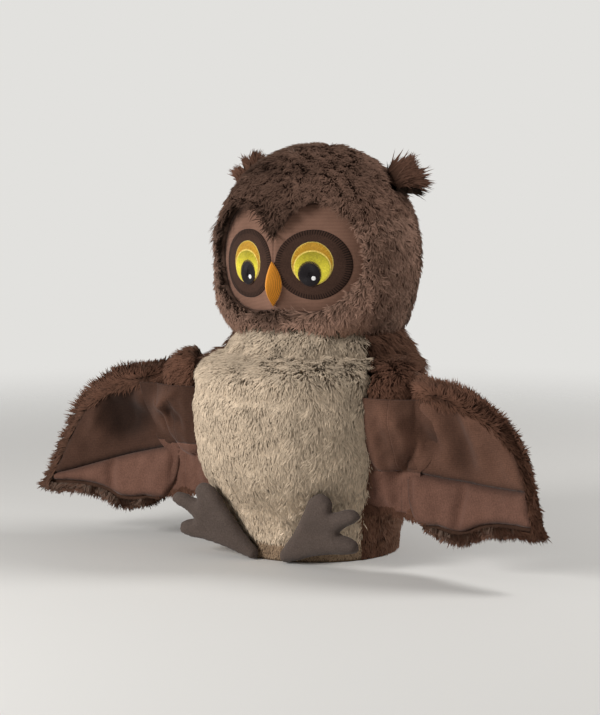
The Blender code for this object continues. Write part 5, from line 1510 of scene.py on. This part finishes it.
class OWL_OT_feet(bpy.types.Operator):
    """Make the flat stuffed feet"""
    bl_idname = "owl.feet"
    bl_label = "Feet"

    def execute(self, context):
        tones = context.scene.owl_colours
        velour = nap_finish("foot_velour", tones.foot, share=0.05, cloud=0.10, depth=0.0002)
        outline = curve_through(np.array(FOOT_OUTLINE_SHARES) * (FOOT_LENGTH, FOOT_RISE), 0.0013)
        for side, word in SIDES:
            flip = np.array((side, 1, 1))

            def place(flat, back):
                return np.stack((FOOT_HEEL[0] + flat[:, 0],
                                 FORWARD + FOOT_HEEL[1] - flat[:, 1] * math.sin(FOOT_LEAN) + back * math.cos(FOOT_LEAN),
                                 FOOT_HEEL[2] + flat[:, 1] * math.cos(FOOT_LEAN) + back * math.sin(FOOT_LEAN)),
                                -1) * flip

            def face(flat, distance):
                full = FOOT_HALF_THICKNESS * (1 + 0.07 * ripple(flat, 0.022, 41 + side))
                return crowned(distance, 0.0068, 0.0004, full)

            mesh = cushion("foot", outline, 0.0017, lambda flat, d: -1.35 * face(flat, d), face, place)
            placed("foot_pad_" + word, mesh, "foot_" + word, velour, ("foot_" + word,))
        return {"FINISHED"}


class OWL_OT_stage(bpy.types.Operator):
    """Set the floor, the lamps and the camera"""
    bl_idname = "owl.stage"
    bl_label = "Stage"

    def execute(self, context):
        stage = context.scene.owl_stage
        azimuth, elevation = stage.azimuth, stage.elevation
        right = Vector((math.cos(azimuth), math.sin(azimuth), 0))
        back = Vector((math.sin(azimuth) * math.cos(elevation), -math.cos(azimuth) * math.cos(elevation),
                       math.sin(elevation)))
        target = Vector((0, FORWARD, 0.150))
        camera = bpy.data.cameras.new("camera")
        camera.lens, camera.sensor_width, camera.sensor_fit = stage.lens, 36, "AUTO"
        camera.clip_start, camera.clip_end = 0.01, 50
        eye = bpy.data.objects.new("camera", camera)
        eye.location = target - right * 0.014 + back * stage.distance
        eye.rotation_euler = back.to_track_quat("Z", "Y").to_euler()
        context.scene.collection.objects.link(eye)
        context.scene.camera = eye
        level = Vector((back.x, back.y, 0)).normalized()
        up = Vector((0, 0, 1))
        lamps = (("key", stage.key, 0.55, target - right * 1.20 + level * 0.70 + up * 0.40),
                 ("fill", stage.fill, 1.2, target + right * 1.1 + level * 1.0 + up * 0.25),
                 ("rim", stage.rim, 0.5, target + right * 1.05 - level * 0.05 + up * 0.95))
        for name, power, size, place in lamps:
            lamp = bpy.data.lights.new(name, "AREA")
            lamp.shape, lamp.size, lamp.energy = "DISK", size, power
            thing = bpy.data.objects.new(name, lamp)
            thing.location = place
            thing.rotation_euler = (place - target).to_track_quat("Z", "Y").to_euler()
            context.scene.collection.objects.link(thing)
        world = bpy.data.worlds.new("room")
        context.scene.world = world
        world.use_nodes = True
        tree = world.node_tree
        shader = tree.nodes["Background"]
        shader.inputs["Color"].default_value = (0.88, 0.87, 0.86, 1)
        shader.inputs["Strength"].default_value = 0.27
        seen = node_at(tree, "ShaderNodeBackground", {"Color": (*stage.background, 1), "Strength": 1.0})
        path = node_at(tree, "ShaderNodeLightPath")
        first = node_at(tree, "ShaderNodeMath", operation="MAXIMUM")
        second = node_at(tree, "ShaderNodeMath", operation="MAXIMUM")
        both = node_at(tree, "ShaderNodeMixShader")
        link = tree.links.new
        link(path.outputs["Is Camera Ray"], first.inputs[0])
        link(path.outputs["Is Glossy Ray"], first.inputs[1])
        link(first.outputs[0], second.inputs[0])
        link(path.outputs["Is Transmission Ray"], second.inputs[1])
        link(second.outputs[0], both.inputs[0])
        link(shader.outputs[0], both.inputs[1])
        link(seen.outputs[0], both.inputs[2])
        link(both.outputs[0], tree.nodes["World Output"].inputs["Surface"])
        turn, reach = np.meshgrid(np.linspace(0, 2 * math.pi, 97)[:-1], np.array((0.02, 0.3, 0.6, 1.0, 1.6, 2.4)),
                                  indexing="ij")
        grid = np.stack((reach * np.cos(turn), reach * np.sin(turn), np.zeros_like(turn)), -1).transpose(1, 0, 2)
        points = np.vstack((grid.reshape(-1, 3), (0, 0, 0)))
        hub = np.arange(96)
        fan = np.column_stack((np.full(96, len(points) - 1), hub, np.roll(hub, -1)))
        mesh = mesh_of("floor", points, grid_quads(6, 96, wrap=True)[:, ::-1], fan)
        floor = bpy.data.objects.new("floor", mesh)
        mesh.materials.append(self.floor_finish(stage))
        context.scene.collection.objects.link(floor)
        view = context.scene.view_settings
        view.view_transform = "Standard"
        return {"FINISHED"}

    def floor_finish(self, stage):
        """Pale matt floor that fades into the background away from the owl."""
        material, shader = new_finish("floor", 0.9)
        shader.inputs["Base Color"].default_value = (*stage.floor, 1)
        tree = material.node_tree
        clear = node_at(tree, "ShaderNodeBsdfTransparent")
        blend = node_at(tree, "ShaderNodeMixShader")
        place = node_at(tree, "ShaderNodeTexCoord")
        reach = node_at(tree, "ShaderNodeVectorMath", operation="LENGTH")
        fade = node_at(tree, "ShaderNodeMapRange", {"From Min": 0.35, "From Max": 1.5})
        fade.interpolation_type = "SMOOTHSTEP"
        link = tree.links.new
        link(place.outputs["Object"], reach.inputs[0])
        link(reach.outputs["Value"], fade.inputs["Value"])
        link(fade.outputs[0], blend.inputs[0])
        link(shader.outputs[0], blend.inputs[1])
        link(clear.outputs[0], blend.inputs[2])
        link(blend.outputs[0], tree.nodes["Material Output"].inputs["Surface"])
        return material


class OWL_PT_puppet(bpy.types.Panel):
    """Sizes, colours and makers of the owl"""
    bl_label = "Owl Glove Puppet"
    bl_idname = "OWL_PT_puppet"
    bl_space_type = "VIEW_3D"
    bl_region_type = "UI"
    bl_category = "Owl"

    def draw(self, context):
        layout, scene = self.layout, context.scene
        for settings in (scene.owl_pile, scene.owl_colours, scene.owl_stage):
            box = layout.box()
            for name in settings.__annotations__:
                box.prop(settings, name)
        for operator in OPERATORS:
            layout.operator(operator.bl_idname)


GROUPS = (("owl_pile", OwlPile), ("owl_colours", OwlColours), ("owl_stage", OwlStage))
OPERATORS = (OWL_OT_body, OWL_OT_sleeve, OWL_OT_head, OWL_OT_face, OWL_OT_tufts, OWL_OT_wings, OWL_OT_feet,
             OWL_OT_stage)


def register():
    """Register the settings, the operators and the panel."""
    for name, group in GROUPS:
        bpy.utils.register_class(group)
        setattr(bpy.types.Scene, name, PointerProperty(type=group))
    for each in (*OPERATORS, OWL_PT_puppet):
        bpy.utils.register_class(each)


def unregister():
    """Remove them again."""
    for each in (OWL_PT_puppet, *reversed(OPERATORS)):
        bpy.utils.unregister_class(each)
    for name, group in reversed(GROUPS):
        delattr(bpy.types.Scene, name)
        bpy.utils.unregister_class(group)


def main():
    """Make every piece in order."""
    register()
    bpy.ops.owl.body()
    bpy.ops.owl.sleeve()
    bpy.ops.owl.head()
    bpy.ops.owl.face()
    bpy.ops.owl.tufts()
    bpy.ops.owl.wings()
    bpy.ops.owl.feet()
    bpy.ops.owl.stage()


if __name__ == "__main__":
    main()
